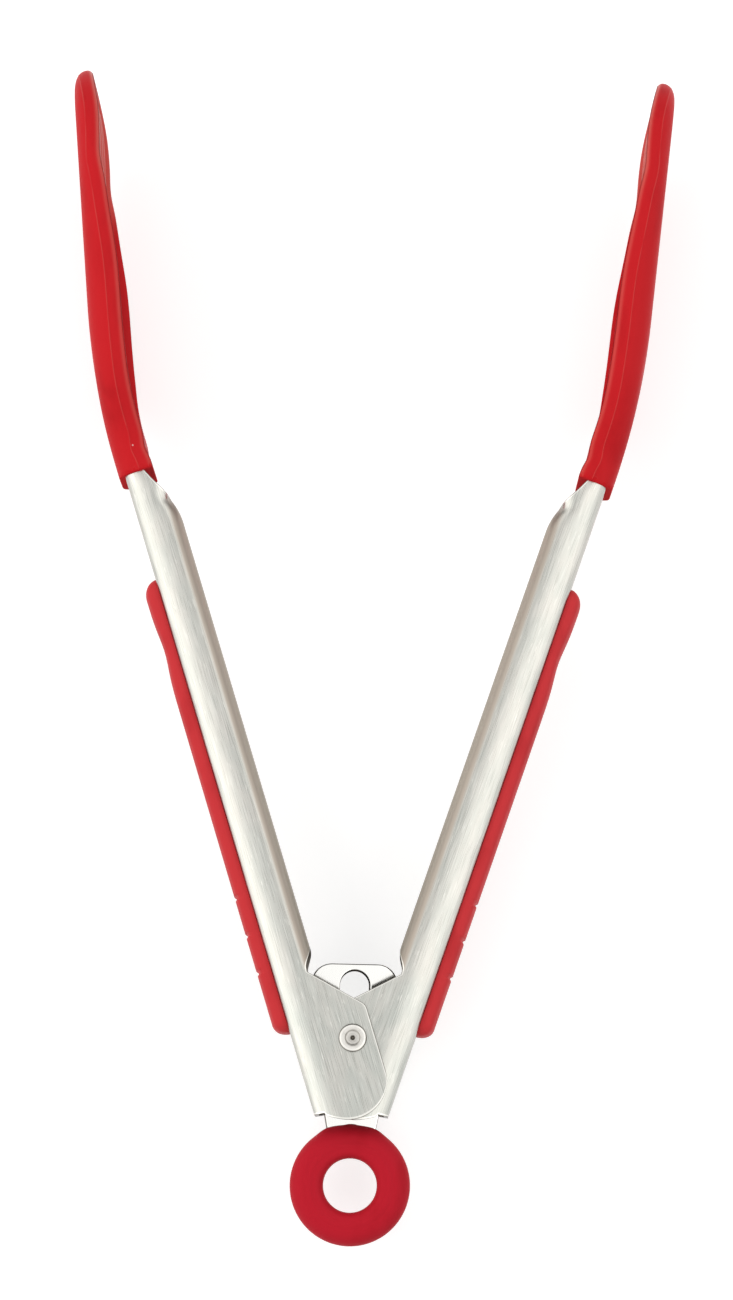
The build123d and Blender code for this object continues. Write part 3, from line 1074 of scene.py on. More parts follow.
@dataclass
class Head:
    """A silicone head: a collar on the arm that widens to a scoop with a ribbed gripping pad.

    The back and the rim are bent lines: level, corner, angle and radius. A wave in them has a rise, a
    place and a reach.
    """

    arm: Arm
    start: float = 125.6
    collar: float = 9.8
    flare: Pair = (128.5, 150.0)
    half_width: float = 17.45
    shoulder: float = 186.0
    end: float = 213.45
    back: tuple[float, float, float, float] = (-13.3, 145.5, 12.6, 150.0)
    back_wave: Triple = (0.7, 216.5, 6.5)
    back_crown: float = 0.9
    back_round: Pair = (4.0, 2.3)
    tip: Pair = (186.0, 209.0)
    rim: tuple[float, float, float, float] = (-5.8, 141.0, 9.6, 60.0)
    rim_waves: tuple[Triple, ...] = (
        (-0.8, 216.5, 6.5),
        (0.3, 201.5, 5.5),
        (-0.4, 190.5, 4.0),
        (0.6, 168.0, 11.0),
        (-0.45, 129.8, 2.0),
    )
    rim_round: float = 1.0
    rim_flat: float = 0.05
    draft: float = 0.16
    seam_depth: float = 2.9
    seam_half: float = 0.12
    ridge: float = 0.06
    wall: Pair = (1.8, 3.5)
    cover: float = 3.05
    hollow_from: Pair = (137.5, 145.0)
    hollow_until: Pair = (177.0, 187.0)
    hollow_shade: Pair = (0.6, 3.2)
    worn_line: Triple = (1.0, 0.45, 0.38)
    pad_drop: float = 1.1
    pad_from: Pair = (180.0, 190.0)
    pad_edge: Pair = (0.35, 0.75)
    pad_share: float = 0.75
    rib_pitch: float = 6.0
    rib_radius: float = 1.1
    rib_height: float = 0.7
    ribs: Pair = (190.0, 205.0)
    collar_depth: float = 3.7
    collar_lip: tuple[Pair, ...] = ((0.0, 0.0), (0.12, 0.28), (0.4, 0.4))

    def back_at(self, u: Array) -> Array:
        """The v of the back: level, an arc, then a slope that is drawn in at the tip."""
        return bent_line(u, *self.back) + hump(u, *self.back_wave)

    def rim_at(self, u: Array) -> Array:
        """The v of the rim: level, an arc, then a slope, with a few low waves along it."""
        return bent_line(u, *self.rim) + sum(hump(u, *wave) for wave in self.rim_waves)

    def crowned_back(self, u: Array, z: Array) -> Array:
        """The v of the back away from its middle line, where it falls off as the square of z."""
        crown = self.back_crown * smooth(*self.flare, u)
        return self.back_at(u) + crown * (z / self.half_width) ** 2

    def outline(self) -> tuple[Array, Array]:
        """Half of the front outline, from the collar to the tip, and its inward directions.

        The half width eases from the collar to the scoop. Past the shoulder the outline is a quarter
        ellipse: u grows with the sine and the half width falls with the cosine of an angle.

        Returns:
            Points and unit directions, both as rows of u and z.
        """
        u = np.linspace(self.start, self.shoulder, 84)
        width = self.collar + (self.half_width - self.collar) * smooth(*self.flare, u)
        angle = quarter_turn(52)[1:]
        tip_u = self.shoulder + (self.end - self.shoulder) * np.sin(angle)
        tip_width = self.half_width * np.cos(angle)
        points = points_of(np.concatenate([u, tip_u]), np.concatenate([width, tip_width]))
        points[-1, 1] = 0.0
        way = np.gradient(points, axis=0)
        way[-1] = (0.0, -1.0)
        way = unit(way)
        return points, points_of(way[:, 1], -way[:, 0])

    def hollow_depth(self, u: Array) -> Array:
        """Depth of the hollow below the rim: nothing at the collar, then the scoop, then the pad.

        Args:
            u: places along the head.

        Returns:
            The depth at each place.
        """
        deepest = np.maximum(self.rim_at(u) - self.back_at(u) - self.cover, self.pad_drop)
        to_pad = smooth(*self.hollow_until, u)
        return (deepest + (self.pad_drop - deepest) * to_pad) * smooth(*self.hollow_from, u)

    def rib_rise(self, u: Array, z: Array) -> Array:
        """Height of the pad's ribs: round bars along u that repeat across z, with round ends.

        Args:
            u: places along the head.
            z: places across it.

        Returns:
            The height above the pad at each place.
        """
        nearest = self.rib_pitch * np.clip(np.round(z / self.rib_pitch), -1, 1)
        past = np.clip(u - self.ribs[1], 0.0, None) + np.clip(self.ribs[0] - u, 0.0, None)
        room = np.clip(self.rib_radius**2 - (z - nearest) ** 2 - past**2, 0.0, None)
        return np.clip(np.sqrt(room) - (self.rib_radius - self.rib_height), 0.0, None)

    def side_profile(self, u: Array, z: Array) -> tuple[Array, Array]:
        """The side wall: shares of the depth from back to rim, and how far each is set in.

        Columns crowd towards both rounded edges, and three of them carry the moulding seam as a
        low ridge. The wall leans in from the seam both ways, as it must to leave its mould.

        Args:
            u: outline places, as a column.
            z: the outline's half widths there.

        Returns:
            Depth share and inset, rows by columns.
        """
        depth = self.rim_at(u) - self.crowned_back(u, z)
        seam = depth - self.seam_depth
        step = quarter_turn(15)
        lower = (seam - self.seam_half) * (1 - np.cos(step))
        upper = seam + self.seam_half + (self.seam_depth - self.seam_half) * np.sin(step)
        place = np.hstack([lower, seam, upper])
        wide, narrow = self.back_round
        rounding = wide + (narrow - wide) * smooth(*self.tip, u)
        inset = quarter_round(place, rounding) + quarter_round(depth - place, self.rim_round)
        inset = inset + self.draft * np.abs(place - seam) + self.ridge
        inset[:, lower.shape[1]] -= self.ridge
        return place / depth, inset

    def half(self) -> Patch:
        """Half of the head from the back's middle line over the side and rim to the scoop's.

        Points at a distance d in from the outline are its points moved by d along the inward
        direction. Inside of that, z shrinks evenly to the middle plane.

        Returns:
            The patch in the arm's frame, with marks for depth, painted shade in the hollow, a painted
            highlight along the rim and a painted sheen on the pad.
        """
        points, inward = self.outline()
        u0, z0 = points[:, :1], points[:, 1:]
        each = np.ones_like(u0)
        share, inset = self.side_profile(u0, z0)
        out = np.linspace(0.0, 1.0, 9)[:-1]
        home = np.linspace(1.0, 0.0, 50)[1:]
        front = np.concatenate([[self.rim_round + self.rim_flat], np.linspace(*self.wall, 12)])
        floor = np.full_like(home, self.wall[1])
        parts = (inset[:, :1] * np.ones_like(out), inset, front, floor)
        distance = np.hstack([each * part for part in parts])
        shrink = np.concatenate([out, np.ones(inset.shape[1] + len(front)), home])
        parts = (np.zeros_like(out), share, np.ones_like(front), np.ones_like(home))
        ratio = np.hstack([each * part for part in parts])
        is_front = np.arange(len(shrink)) >= len(out) + inset.shape[1]
        u = u0 + distance * inward[:, :1]
        z = np.maximum(z0 + distance * inward[:, 1:], 0.0) * shrink
        back = self.crowned_back(u, z)
        rise = self.rib_rise(u, z)
        sunk = self.hollow_depth(u) * smooth(*self.wall, distance) - rise
        v = back + (self.rim_at(u) - back) * ratio - np.where(is_front, sunk, 0.0)
        depth = self.rim_at(u) - v
        pad_sheen_face = self.pad_share + (1 - self.pad_share) * rise / self.rib_height
        pad_sheen_side = self.pad_share * (1 - smooth(*self.pad_edge, depth))
        # hollow is painted shade in the scoop, the pale band is a painted highlight along the rim, and pad
        # is a painted sheen on the pad and the rim beside it.
        marks = {
            "depth": np.where(is_front, 0.0, depth),
            "hollow": np.where(is_front, smooth(*self.hollow_shade, sunk), 0.0),
            "worn": hump(np.where(is_front, distance, depth), *self.worn_line),
            "pad": smooth(*self.pad_from, u) * np.where(is_front, pad_sheen_face, pad_sheen_side),
        }
        return Patch(points_of(v, u, z), points_of(z, u), marks)

    def cap(self, half: Patch) -> Patch:
        """The collar's lower end: the first row drawn in on a small round, then to its middle.

        Args:
            half: half of the head, whose first row is the collar's edge.

        Returns:
            Half of the end, which meets that row.
        """
        edge = half.points[0]
        middle = np.array([(edge[:, 0].min() + edge[:, 0].max()) / 2, 0.0, 0.0])
        rows = []
        reach = np.array([self.collar_depth, 1.0, self.collar])
        for inset, drop in self.collar_lip:
            moved = middle + (edge - middle) * (1 - inset / reach)
            moved[:, 1] = edge[:, 1] - drop
            rows.append(moved)
        centre = np.tile(middle, (len(edge), 1))
        centre[:, 1] = edge[:, 1].max() - self.collar_lip[-1][1]
        points = np.stack([*rows, centre])
        flat = np.zeros(points.shape[:2])
        return Patch(points, points[..., [2, 1]], {"depth": flat, "matte": flat + 1.0})

    def build(self, side: Side, maker: Maker) -> None:
        """Makes one head as a closed shell.

        Args:
            side: which arm it is on.
            maker: what finishes the piece.
        """
        half = self.half()
        patches = []
        for patch in (half, self.cap(half)):
            patches += [patch, patch.mirrored()]
        made = Forge.piece(f"{side.word}_head_scoop", self.arm.placed(side, patches))
        maker.add(made, f"{side.word}_arm", "head_silicone", f"{side.word}_head")


@dataclass
class Grip:
    """A soft pad on the arm's back with grooves across it, held by studs through the steel."""

    arm: Arm
    start: float = 4.95
    end: float = 103.0
    thickness: float = 3.1
    half_width: float = 6.5
    end_corner: float = 3.0
    lower_round: float = 2.4
    upper_round: float = 3.6
    squareness: float = 4.2
    waist: Triple = (0.55, 88.0, 5.0)
    grooves: Triple = (18.0, 26.0, 34.0)
    groove_width: float = 1.0
    groove_depth: float = 0.35
    groove_ease: Pair = (0.15, 0.2)
    studs: Triple = (43.0, 66.0, 89.0)
    stud_radius: float = 3.0
    stud_height: float = 1.0
    stud_edge: float = 0.45
    end_rows: float = 4.0
    row_step: float = 1.5
    crest: Pair = (0.75, 1.0)
    worn_line: Triple = (0.6, 0.86, 0.08)
    foot_shade: Pair = (0.15, 0.7)
    foot_dark: float = 0.8

    def rise(self, u: Array) -> Array:
        """Thickness along the pad: elliptical ends, a shallow waist and three narrow grooves.

        Args:
            u: places along the arm.

        Returns:
            The thickness at each place.
        """
        low = np.clip((u - self.start) / self.lower_round, 0.0, 1.0)
        high = np.clip((self.end - u) / self.upper_round, 0.0, 1.0)
        ends = np.sqrt(1 - (1 - low) ** 2) * np.sqrt(1 - (1 - high) ** 2)
        hollow = hump(u, *self.waist)
        outer, inner = self.groove_ease
        for first in self.grooves:
            last = first + self.groove_width
            inside = smooth(first - outer, first + inner, u) * (1 - smooth(last - inner, last + outer, u))
            hollow = hollow + self.groove_depth * inside
        return (self.thickness - hollow) * ends

    def pad(self) -> Patch:
        """The pad: a flattened superellipse over a flat foot, carried along u.

        Across the back z is the half width times a power of a cosine and the height is the thickness
        times the same power of a sine. The foot closes the section in a straight line.

        Returns:
            The patch in the arm's frame, with marks for paler shoulders and painted shade at the foot.
        """
        ends = (1 - np.cos(quarter_turn(15))) * self.end_rows
        even = np.arange(self.start + self.end_rows, self.end - self.end_rows, self.row_step)
        margin = 2 * self.groove_ease[0]
        over_groove = np.linspace(-margin, self.groove_width + margin, 13)
        grooves = [first + over_groove for first in self.grooves]
        u = np.unique(np.concatenate([self.start + ends, even, *grooves, self.end - ends]))[:, None]
        gap = np.clip(self.end_corner - np.minimum(u - self.start, self.end - u), 0.0, self.end_corner)
        width = self.half_width - self.end_corner + np.sqrt(self.end_corner**2 - gap**2)
        angle = np.linspace(0.0, np.pi, 45)
        power = 2.0 / self.squareness
        across = np.sign(np.cos(angle)) * np.abs(np.cos(angle)) ** power
        over = np.abs(np.sin(angle)) ** power
        foot = np.linspace(-1.0, 1.0, 9)[1:]
        across = np.concatenate([across, foot])
        over = np.concatenate([over, np.zeros_like(foot)])
        height = self.rise(u) * over
        z = width * across
        worn = smooth(*self.crest, over) * hump(np.abs(across), *self.worn_line)
        # Painted shade at the foot, where the pad meets the steel.
        contact = 1 - smooth(*self.foot_shade, height)
        marks = {"worn": np.broadcast_to(worn, z.shape), "hollow": contact * self.foot_dark}
        return Patch(points_of(self.arm.back - height, u, z), points_of(z, u), marks)

    def stud(self, place: float) -> Patch:
        """A moulded stud head inside the channel: a low disc with a rounded rim, turned about v.

        Args:
            place: its u.

        Returns:
            The patch in the arm's frame.
        """
        turn = quarter_turn(7)
        rim = self.stud_radius - self.stud_edge + self.stud_edge * np.sin(turn)
        rim_height = self.stud_height - self.stud_edge + self.stud_edge * np.cos(turn)
        radius = np.concatenate([[0.0], rim, [self.stud_radius, 0.0]])
        height = np.concatenate([[self.stud_height], rim_height, [0.0, 0.0]])
        disc = lathe(radius, height, np.zeros(3), 40)
        x, y, z = np.moveaxis(disc.points, -1, 0)
        return Patch(points_of(self.arm.back + self.arm.sheet + z, place + y, x), disc.uv)

    def build(self, side: Side, maker: Maker) -> None:
        """Makes one grip and its studs.

        Args:
            side: which arm it is on.
            maker: what finishes the piece.
        """
        patches = [self.pad()] + [self.stud(place) for place in self.studs]
        made = Forge.piece(f"{side.word}_grip_pad", self.arm.placed(side, patches))
        maker.add(made, f"{side.word}_arm", "grip_rubber", f"{side.word}_grip")


@dataclass
class Pivot:
    """The rivet through the ears, with a dished head on both sides.

    A shade has its share, and then where it begins and ends from its radius. The wall's shade has a
    share and a reach.
    """

    shank: float = 2.0
    head_base: float = 9.15
    head_top: float = 10.05
    head_radius: float = 2.85
    head_round: float = 0.38
    dish_radius: float = 1.6
    dish_depth: float = 0.35
    dish_lip: float = 0.16
    dish_foot: float = 0.35
    foot_round: float = 0.2
    floor_sag: float = 0.02
    eye_radius: float = 0.42
    eye_depth: float = 0.3
    eye_lip: float = 0.1
    eye_flat: float = 0.6
    dish_shade: Triple = (0.36, -0.25, 0.05)
    eye_shade: Triple = (0.6, -0.1, 0.15)
    rim_shade: Triple = (0.8, -0.36, -0.08)
    wall_shade: Pair = (0.5, 0.19)

    def half_profile(self) -> tuple[Array, Array]:
        """The profile from the middle of the eye out over the head and in to the shank.

        Its round stretches are quarter circles: the eye's lip, the dish's foot and lip, and the rim.

        Returns:
            Radius and height of each point.
        """
        sine, cosine = np.sin(quarter_turn(8)), np.cos(quarter_turn(8))
        eye, dish, top = self.eye_radius, self.dish_radius, self.head_top
        floor = top - self.dish_depth
        bottom = floor - self.eye_depth
        edge = floor - self.eye_lip
        stretches = (
            ([0.0, eye * self.eye_flat, eye], [bottom, bottom, edge]),
            (eye + self.eye_lip * sine, edge + self.eye_lip * sine),
            ([(eye + dish) / 2], [floor - self.floor_sag]),
            (dish - self.dish_foot + self.foot_round * sine, floor + self.foot_round * (1 - cosine)),
            (dish + self.dish_lip * (1 - cosine), top - self.dish_lip + self.dish_lip * sine),
            (self.head_radius - self.head_round * (1 - sine), top - self.head_round * (1 - cosine)),
            ([self.head_radius, self.shank, self.shank], [self.head_base, self.head_base, 0.0]),
        )
        radius, height = (np.concatenate(parts) for parts in zip(*stretches))
        return radius, height

    @staticmethod
    def step(reach: Array, radius: float, shade: Triple) -> Array:
        """How far past a radius each place is, from 0 to 1, between the shade's two ends."""
        return smooth(radius + shade[1], radius + shade[2], reach)

    def build(self, maker: Maker) -> None:
        """Makes the rivet from two mirrored halves of its profile.

        Args:
            maker: what finishes the piece.
        """
        radius, height = self.half_profile()
        upper = lathe(radius, height, PIVOT, 72)
        reach = upper.marks["radius"]
        dish = self.dish_shade[0] * (1 - self.step(reach, self.dish_radius, self.dish_shade))
        eye = self.eye_shade[0] * (1 - self.step(reach, self.eye_radius, self.eye_shade))
        rim = self.rim_shade[0] * self.step(reach, self.head_radius, self.rim_shade)
        share, width = self.wall_shade
        wall = hump(reach, share, self.dish_radius, width)
        # The rivet's hollow mark is painted shade: in the dish and the eye, on the dish's wall and round
        # the rim.
        upper.marks["hollow"] = np.clip(dish + eye + wall + rim, 0.0, 1.0)
        made = Forge.piece("pivot_rivet_set", [upper, upper.mirrored(PIVOT[2])])
        maker.add(made, "pivot", "rivet_steel", "pivot_rivet")


@dataclass
class Spring:
    """The torsion spring, made as two halves, the leg of each leaning on one arm."""

    arm: Arm
    wire: float = 1.0
    coil_radius: float = 4.15
    bottom: float = 1.7
    pitch: float = 1.05
    turns: float = 3.0
    leg_depth: float = 10.4
    leg_contact: float = 26.0
    leg_end: float = 36.0
    leg_bend: float = 0.6
    overlap: float = 6.0
    slip: float = 0.03
    slip_from: Pair = (8.0, 4.0)
    end_round: float = 0.6

    @property
    def leg_angle(self) -> float:
        """Direction of the left leg from +X in degrees, tangent to the coil and on to the contact.

        Returns:
            The angle.
        """
        to_contact = np.arctan2(self.leg_depth, self.leg_contact)
        to_tangent = np.arcsin(self.coil_radius / np.hypot(self.leg_contact, self.leg_depth))
        return 90.0 + self.arm.open_angle + np.degrees(to_contact - to_tangent)

    @property
    def span(self) -> float:
        """Angle that the coil winds through from leg to leg, in degrees."""
        return 360.0 * self.turns + 2 * (180.0 - self.leg_angle)

    @property
    def rise(self) -> float:
        """Height that the coil climbs from leg to leg."""
        return self.pitch * self.span / 360.0

    def ends(self, side: Side) -> tuple[Array, Array]:
        """A place on the pivot's axis just past a half's leg, and the coil's middle.

        Args:
            side: the arm that its leg leans on.

        Returns:
            Both places.
        """
        edge = self.wire / 2
        start = self.bottom + edge if side is Side.LEFT else self.bottom + self.rise - edge
        middle = self.bottom + self.rise / 2
        return PIVOT + (0.0, 0.0, start), PIVOT + (0.0, 0.0, middle)

    def path(self, side: Side) -> Array:
        """The wire's line from the leg's end down to the coil and round half of its turns.

        The coil is a helix: the angle grows evenly and z grows by the pitch for each turn. The leg is
        a parabola from its end past the contact, and then runs straight to the coil.

        Args:
            side: the arm that the leg leans on.

        Returns:
            Points round the pivot.
        """
        sweep = np.linspace(0.0, (self.span + self.overlap) / 2, 150)
        angle = np.radians(self.leg_angle + 90.0 + sweep)
        height = self.bottom + self.pitch * (angle - angle[0]) / (2 * np.pi)
        coil = points_of(self.coil_radius * np.cos(angle), self.coil_radius * np.sin(angle), height)
        turn = np.radians(self.arm.open_angle)
        along = np.array([self.leg_contact, self.leg_end])
        x = -along * np.sin(turn) - self.leg_depth * np.cos(turn)
        y = along * np.cos(turn) - self.leg_depth * np.sin(turn)
        contact, end = points_of(x, y, self.bottom)
        inner = (1 - self.leg_bend) * coil[0] + self.leg_bend * contact
        share = np.linspace(0.0, 1.0, 40)[:, None]
        leg = (1 - share) ** 2 * end + 2 * share * (1 - share) * contact + share**2 * inner
        straight = leg[-1] + (coil[0] - leg[-1]) * np.linspace(0.0, 1.0, 12)[1:, None]
        line = np.concatenate([leg, straight, coil[1:]])
        if side is Side.RIGHT:
            line = line * (-1.0, 1.0, -1.0) + (0.0, 0.0, 2 * self.bottom + self.rise)
        return line

    def tube(self, line: Array, slim: float) -> Patch:
        """A round wire along a line: circles in the plane of the line's side and upward directions.

        Args:
            line: the wire's middle.
            slim: how much thinner the wire is towards the line's end.

        Returns:
            A closed tube, its ends drawn in to points on a small round.
        """
        way = unit(np.gradient(line, axis=0))
        sideways = unit(np.cross((0.0, 0.0, 1.0), way))
        up = np.cross(way, sideways)
        run = running_length(line)
        first, last = (run[-1] - before for before in self.slip_from)
        radius = self.wire / 2 - slim * smooth(first, last, run)
        turn = quarter_turn(6)[:-1]
        drawn = np.sin(turn)
        past = self.end_round * np.cos(turn)[:, None]
        start = line[0] - way[0] * radius[0] * past
        end = line[-1] + way[-1] * radius[-1] * past[::-1]
        middle = np.concatenate([start, line, end])
        widths = np.concatenate([drawn * radius[0], radius, drawn[::-1] * radius[-1]])
        pick = np.clip(np.arange(len(middle)) - len(turn), 0, len(line) - 1)
        angle = np.linspace(0.0, 2 * np.pi, 19)[:, None]
        circle = sideways[pick, None] * np.cos(angle) + up[pick, None] * np.sin(angle)
        points = middle[:, None] + circle * widths[:, None, None] + PIVOT
        return Patch(points, points_of(angle[:, 0] * self.wire / 2, run[pick, None]))

    def build(self, maker: Maker) -> None:
        """Makes both halves, the left one slim where it ends inside the right one.

        Args:
            maker: what finishes the pieces.
        """
        for side in Side:
            slim = self.slip if side is Side.LEFT else 0.0
            made = Forge.piece(f"spring_{side.word}_half", [self.tube(self.path(side), slim)])
            maker.dress(made, "spring_steel", "torsion_spring")
            maker.twist(made, f"{side.word}_arm", self.ends(side))


@dataclass
class Pull:
    """The slotted pull tab and the soft ring moulded on its tongue. Heights are from the rivet."""

    thickness: float = 1.2
    edge: float = 0.32
    left_wear: Triple = (0.6, -7.0, -3.0)
    right_shine: float = 0.45
    least_slant: float = 0.25
    top: float = 15.6
    head: float = 8.9
    head_corner: float = 4.2
    small_corner: float = 1.0
    tongue_corner: float = 0.05
    shoulder: float = 4.4
    slope_end: float = -0.8
    neck: float = 5.6
    taper: float = -15.6
    tongue: float = 5.0
    tongue_top: float = -18.75
    tongue_end: float = -22.8
    outline_step: float = 0.8
    slot_radius: float = 2.97
    slot_travel: float = 11.1
    slot_edge: float = 0.5
    slot_edge_shares: Pair = (0.4, 0.7)
    slot_shade: Pair = (0.64, 0.77)
    slot_shade_base: float = 0.35
    face_margin: float = 0.004
    ring_radius: float = 12.33
    ring_hole: float = 5.5
    ring_half: float = 3.5
    outer_round: float = 3.2
    hole_round: float = 1.9
    crown: float = 0.12
    outside_band: float = 1.5
    nub: Triple = (0.25, 5.5, 1.2)
    boss: Triple = (0.02, 0.36, 1.9)
    boss_half: float = 4.8
    boss_fade: Pair = (3.9, 7.6)
    seam: Triple = (0.4, 0.0, 0.25)
    hole_band: float = 1.2
    hole_dark: float = 0.5

    @staticmethod
    def round_and_back(upper: Array, sign: float = 1.0) -> Array:
        """A closed profile: its upper side, the same backwards with a sign, and its first again."""
        return np.concatenate([upper, sign * upper[..., ::-1], upper[..., :1]], axis=-1)

    def outline(self) -> Array:
        """The tab's outline, anticlockwise from the right of its tongue.

        Returns:
            Points round the rivet, the first repeated at the end.
        """
        small = self.small_corner
        right = [
            (self.tongue, self.tongue_end, small),
            (self.tongue, self.tongue_top, self.tongue_corner),
            (self.neck, self.taper, small),
            (self.neck, self.slope_end, small),
            (self.head, self.shoulder, small),
            (self.head, self.top, self.head_corner),
        ]
        both = right + [(-x, y, radius) for x, y, radius in reversed(right)]
        corners = [(x, y) for x, y, _ in both]
        radii = [radius for _, _, radius in both]
        return filled_in(rounded_corners(corners, radii, 12), self.outline_step)

    def tab(self) -> Patch:
        """The plate: a rounded strip profile carried round the tab, between its slot and its edge.

        Each outline point is joined to the nearest point of the slot. The profile runs over the
        upper face, round the cut edge, back under the plate and through the slot.

        Returns:
            The patch, closed both ways, with a mark for a painted dark reflection on the cut edges.
        """
        outer = self.outline()
        spine = points_of(0.0, np.clip(outer[:, 1], 0.0, self.slot_travel))
        reach = np.linalg.norm(outer - spine, axis=1)[:, None]
        way = (outer - spine) / reach
        room = reach - self.slot_radius
        along = np.roll(outer[:-1], -1, axis=0) - np.roll(outer[:-1], 1, axis=0)
        along = np.concatenate([along, along[:1]])
        square = unit(points_of(along[:, 1], -along[:, 0]))
        slant = np.clip((way * square).sum(axis=1), self.least_slant, 1.0)[:, None]
        # Below the ears the left edge is rounded wider, which widens its painted dark reflection; on the
        # right that painted reflection is weaker, and round the slot it is strongest towards the upper
        # right.
        widening, low, high = self.left_wear
        below = 1 - smooth(low, high, outer[:, 1])[:, None]
        edge = self.edge * (1 + widening * below * np.clip(-square[:, :1], 0.0, 1.0))
        toward = np.clip(way @ np.array(self.slot_shade) + self.slot_shade_base, 0.0, 1.0)[:, None]
        least, more = self.slot_edge_shares
        slot_edge = self.slot_edge * (least + more * toward)
        turn = quarter_turn(6)
        sine, cosine = np.sin(turn), np.cos(turn)
        flat = np.concatenate([[0.0, 0.02], np.linspace(0.15, 0.85, 6), [0.98, 1.0]])
        clear = room - slot_edge - edge / slant
        face = slot_edge + clear * (self.face_margin + (1 - 2 * self.face_margin) * flat)
        outer_edge = room - edge / slant * (1 - cosine[::-1])
        distance = np.hstack([slot_edge * (1 - cosine), face, outer_edge])
        half = self.thickness / 2
        level = np.full_like(face, half)
        height = np.hstack([half - (1 - sine) * slot_edge, level, half - (1 - sine[::-1]) * edge])
        dull = 1 - self.right_shine * below * np.clip(square[:, :1], 0.0, 1.0)
        cut = np.hstack([toward * cosine, np.zeros_like(face), dull * cosine[::-1]])
        distance = self.round_and_back(distance)[..., None]
        height = self.round_and_back(height, -1.0)[..., None]
        flat_points = (spine + way * self.slot_radius)[:, None] + way[:, None] * distance
        points = np.concatenate([flat_points, height], axis=-1) + PIVOT
        return Patch(points, flat_points, {"cut": self.round_and_back(cut)})

    def ring(self) -> Patch:
        """The ring: a rounded band turned about the hole's axis, with a boss where the tab enters.

        The boss lifts y by a parabola in x over the tab's width, and dies away past it and with z.
        On it is a small moulding nub, a bump in the outer radius that dies away with the angle
        from +Y.

        Returns:
            The patch round the frame's origin, with marks for the seam and a painted shade round the hole.
        """
        sine, cosine = np.sin(quarter_turn(19)), np.cos(quarter_turn(19))
        wide, thin = self.outer_round, self.hole_round
        level = self.ring_half - self.crown
        outer = self.ring_radius - wide + wide * sine
        inner = self.ring_hole + thin - thin * sine
        share = np.linspace(-1.0, 1.0, 24)[1:-1]
        across = (inner[0] + outer[0]) / 2 + (outer[0] - inner[0]) / 2 * share
        crowned = level + self.crown * (1 - share**2) ** 2
        radius = np.concatenate([inner[::-1], across, outer])
        height = np.concatenate([level - thin + thin * cosine[::-1], crowned, level - wide + wide * cosine])
        radius = self.round_and_back(radius)
        height = self.round_and_back(height, -1.0)
        patch = lathe(radius, height, np.zeros(3), 120)
        x, y, z = np.moveaxis(patch.points, -1, 0)
        distance = np.hypot(x, y)
        outside = smooth(self.ring_radius - self.outside_band, self.ring_radius, distance)
        rise, spread, reach = self.nub
        angle = np.degrees(np.arctan2(x, y))
        grow = 1 + outside * np.exp(-((angle / spread) ** 4)) * hump(z, rise, 0.0, reach) / distance
        middle, ends, depth = self.boss
        held = np.where(y > 0, 1 - smooth(*self.boss_fade, np.abs(x)), 0.0) * outside
        lift = (middle + ends * (x / self.boss_half) ** 2) * held * np.exp(-((z / depth) ** 4))
        points = points_of(x * grow, y * grow + lift, z)
        # Painted shade round the hole.
        inside = 1 - smooth(self.ring_hole, self.ring_hole + self.hole_band, distance)
        marks = {"worn": hump(z, *self.seam) * outside, "hollow": inside * self.hole_dark}
        return Patch(points, patch.uv, marks)

    def build(self, maker: Maker) -> None:
        """Makes the tab and the ring."""
        maker.add(Forge.piece("pull_tab_plate", [self.tab()]), "pull", "polished_steel", "pull_tab")
        maker.add(Forge.piece("pull_ring_soft", [self.ring()]), "pull", "ring_silicone", "pull_ring")


@dataclass(frozen=True)
class Softbox:
    """An area lamp: its name, its place, its width and height, and its power in watts."""

    name: str
    place: Triple
    size: Pair
    power: float

    def light(self, aim: Triple, tint: Colour) -> None:
        """Sets up the lamp, which reflections don't see.

        Args:
            aim: the place that it faces, in millimetres.
            tint: its colour.
        """
        data = bpy.data.lights.new(self.name, "AREA")
        data.shape = "RECTANGLE"
        data.size, data.size_y = (length * MM for length in self.size)
        data.energy = self.power
        data.color = tint
        made = bpy.data.objects.new(self.name, data)
        made.visible_glossy = False
        made.location = Vector(self.place) * MM
        made.rotation_mode = "QUATERNION"
        made.rotation_quaternion = (Vector(aim) * MM - made.location).to_track_quat("-Z", "Y")
        bpy.context.scene.collection.objects.link(made)


@dataclass(frozen=True)
class Wing:
    """A bright side of the sky that only reflections see, by the direction's x."""

    begins: Pair
    fades: Pair
    faded: float
    share: float

    def glow(self, x: Field) -> Field:
        """How bright the wing is: it begins with x, and fades again towards the side."""
        return x.over(*self.begins) * (1.0 - x.over(*self.fades) * self.faded) * self.share


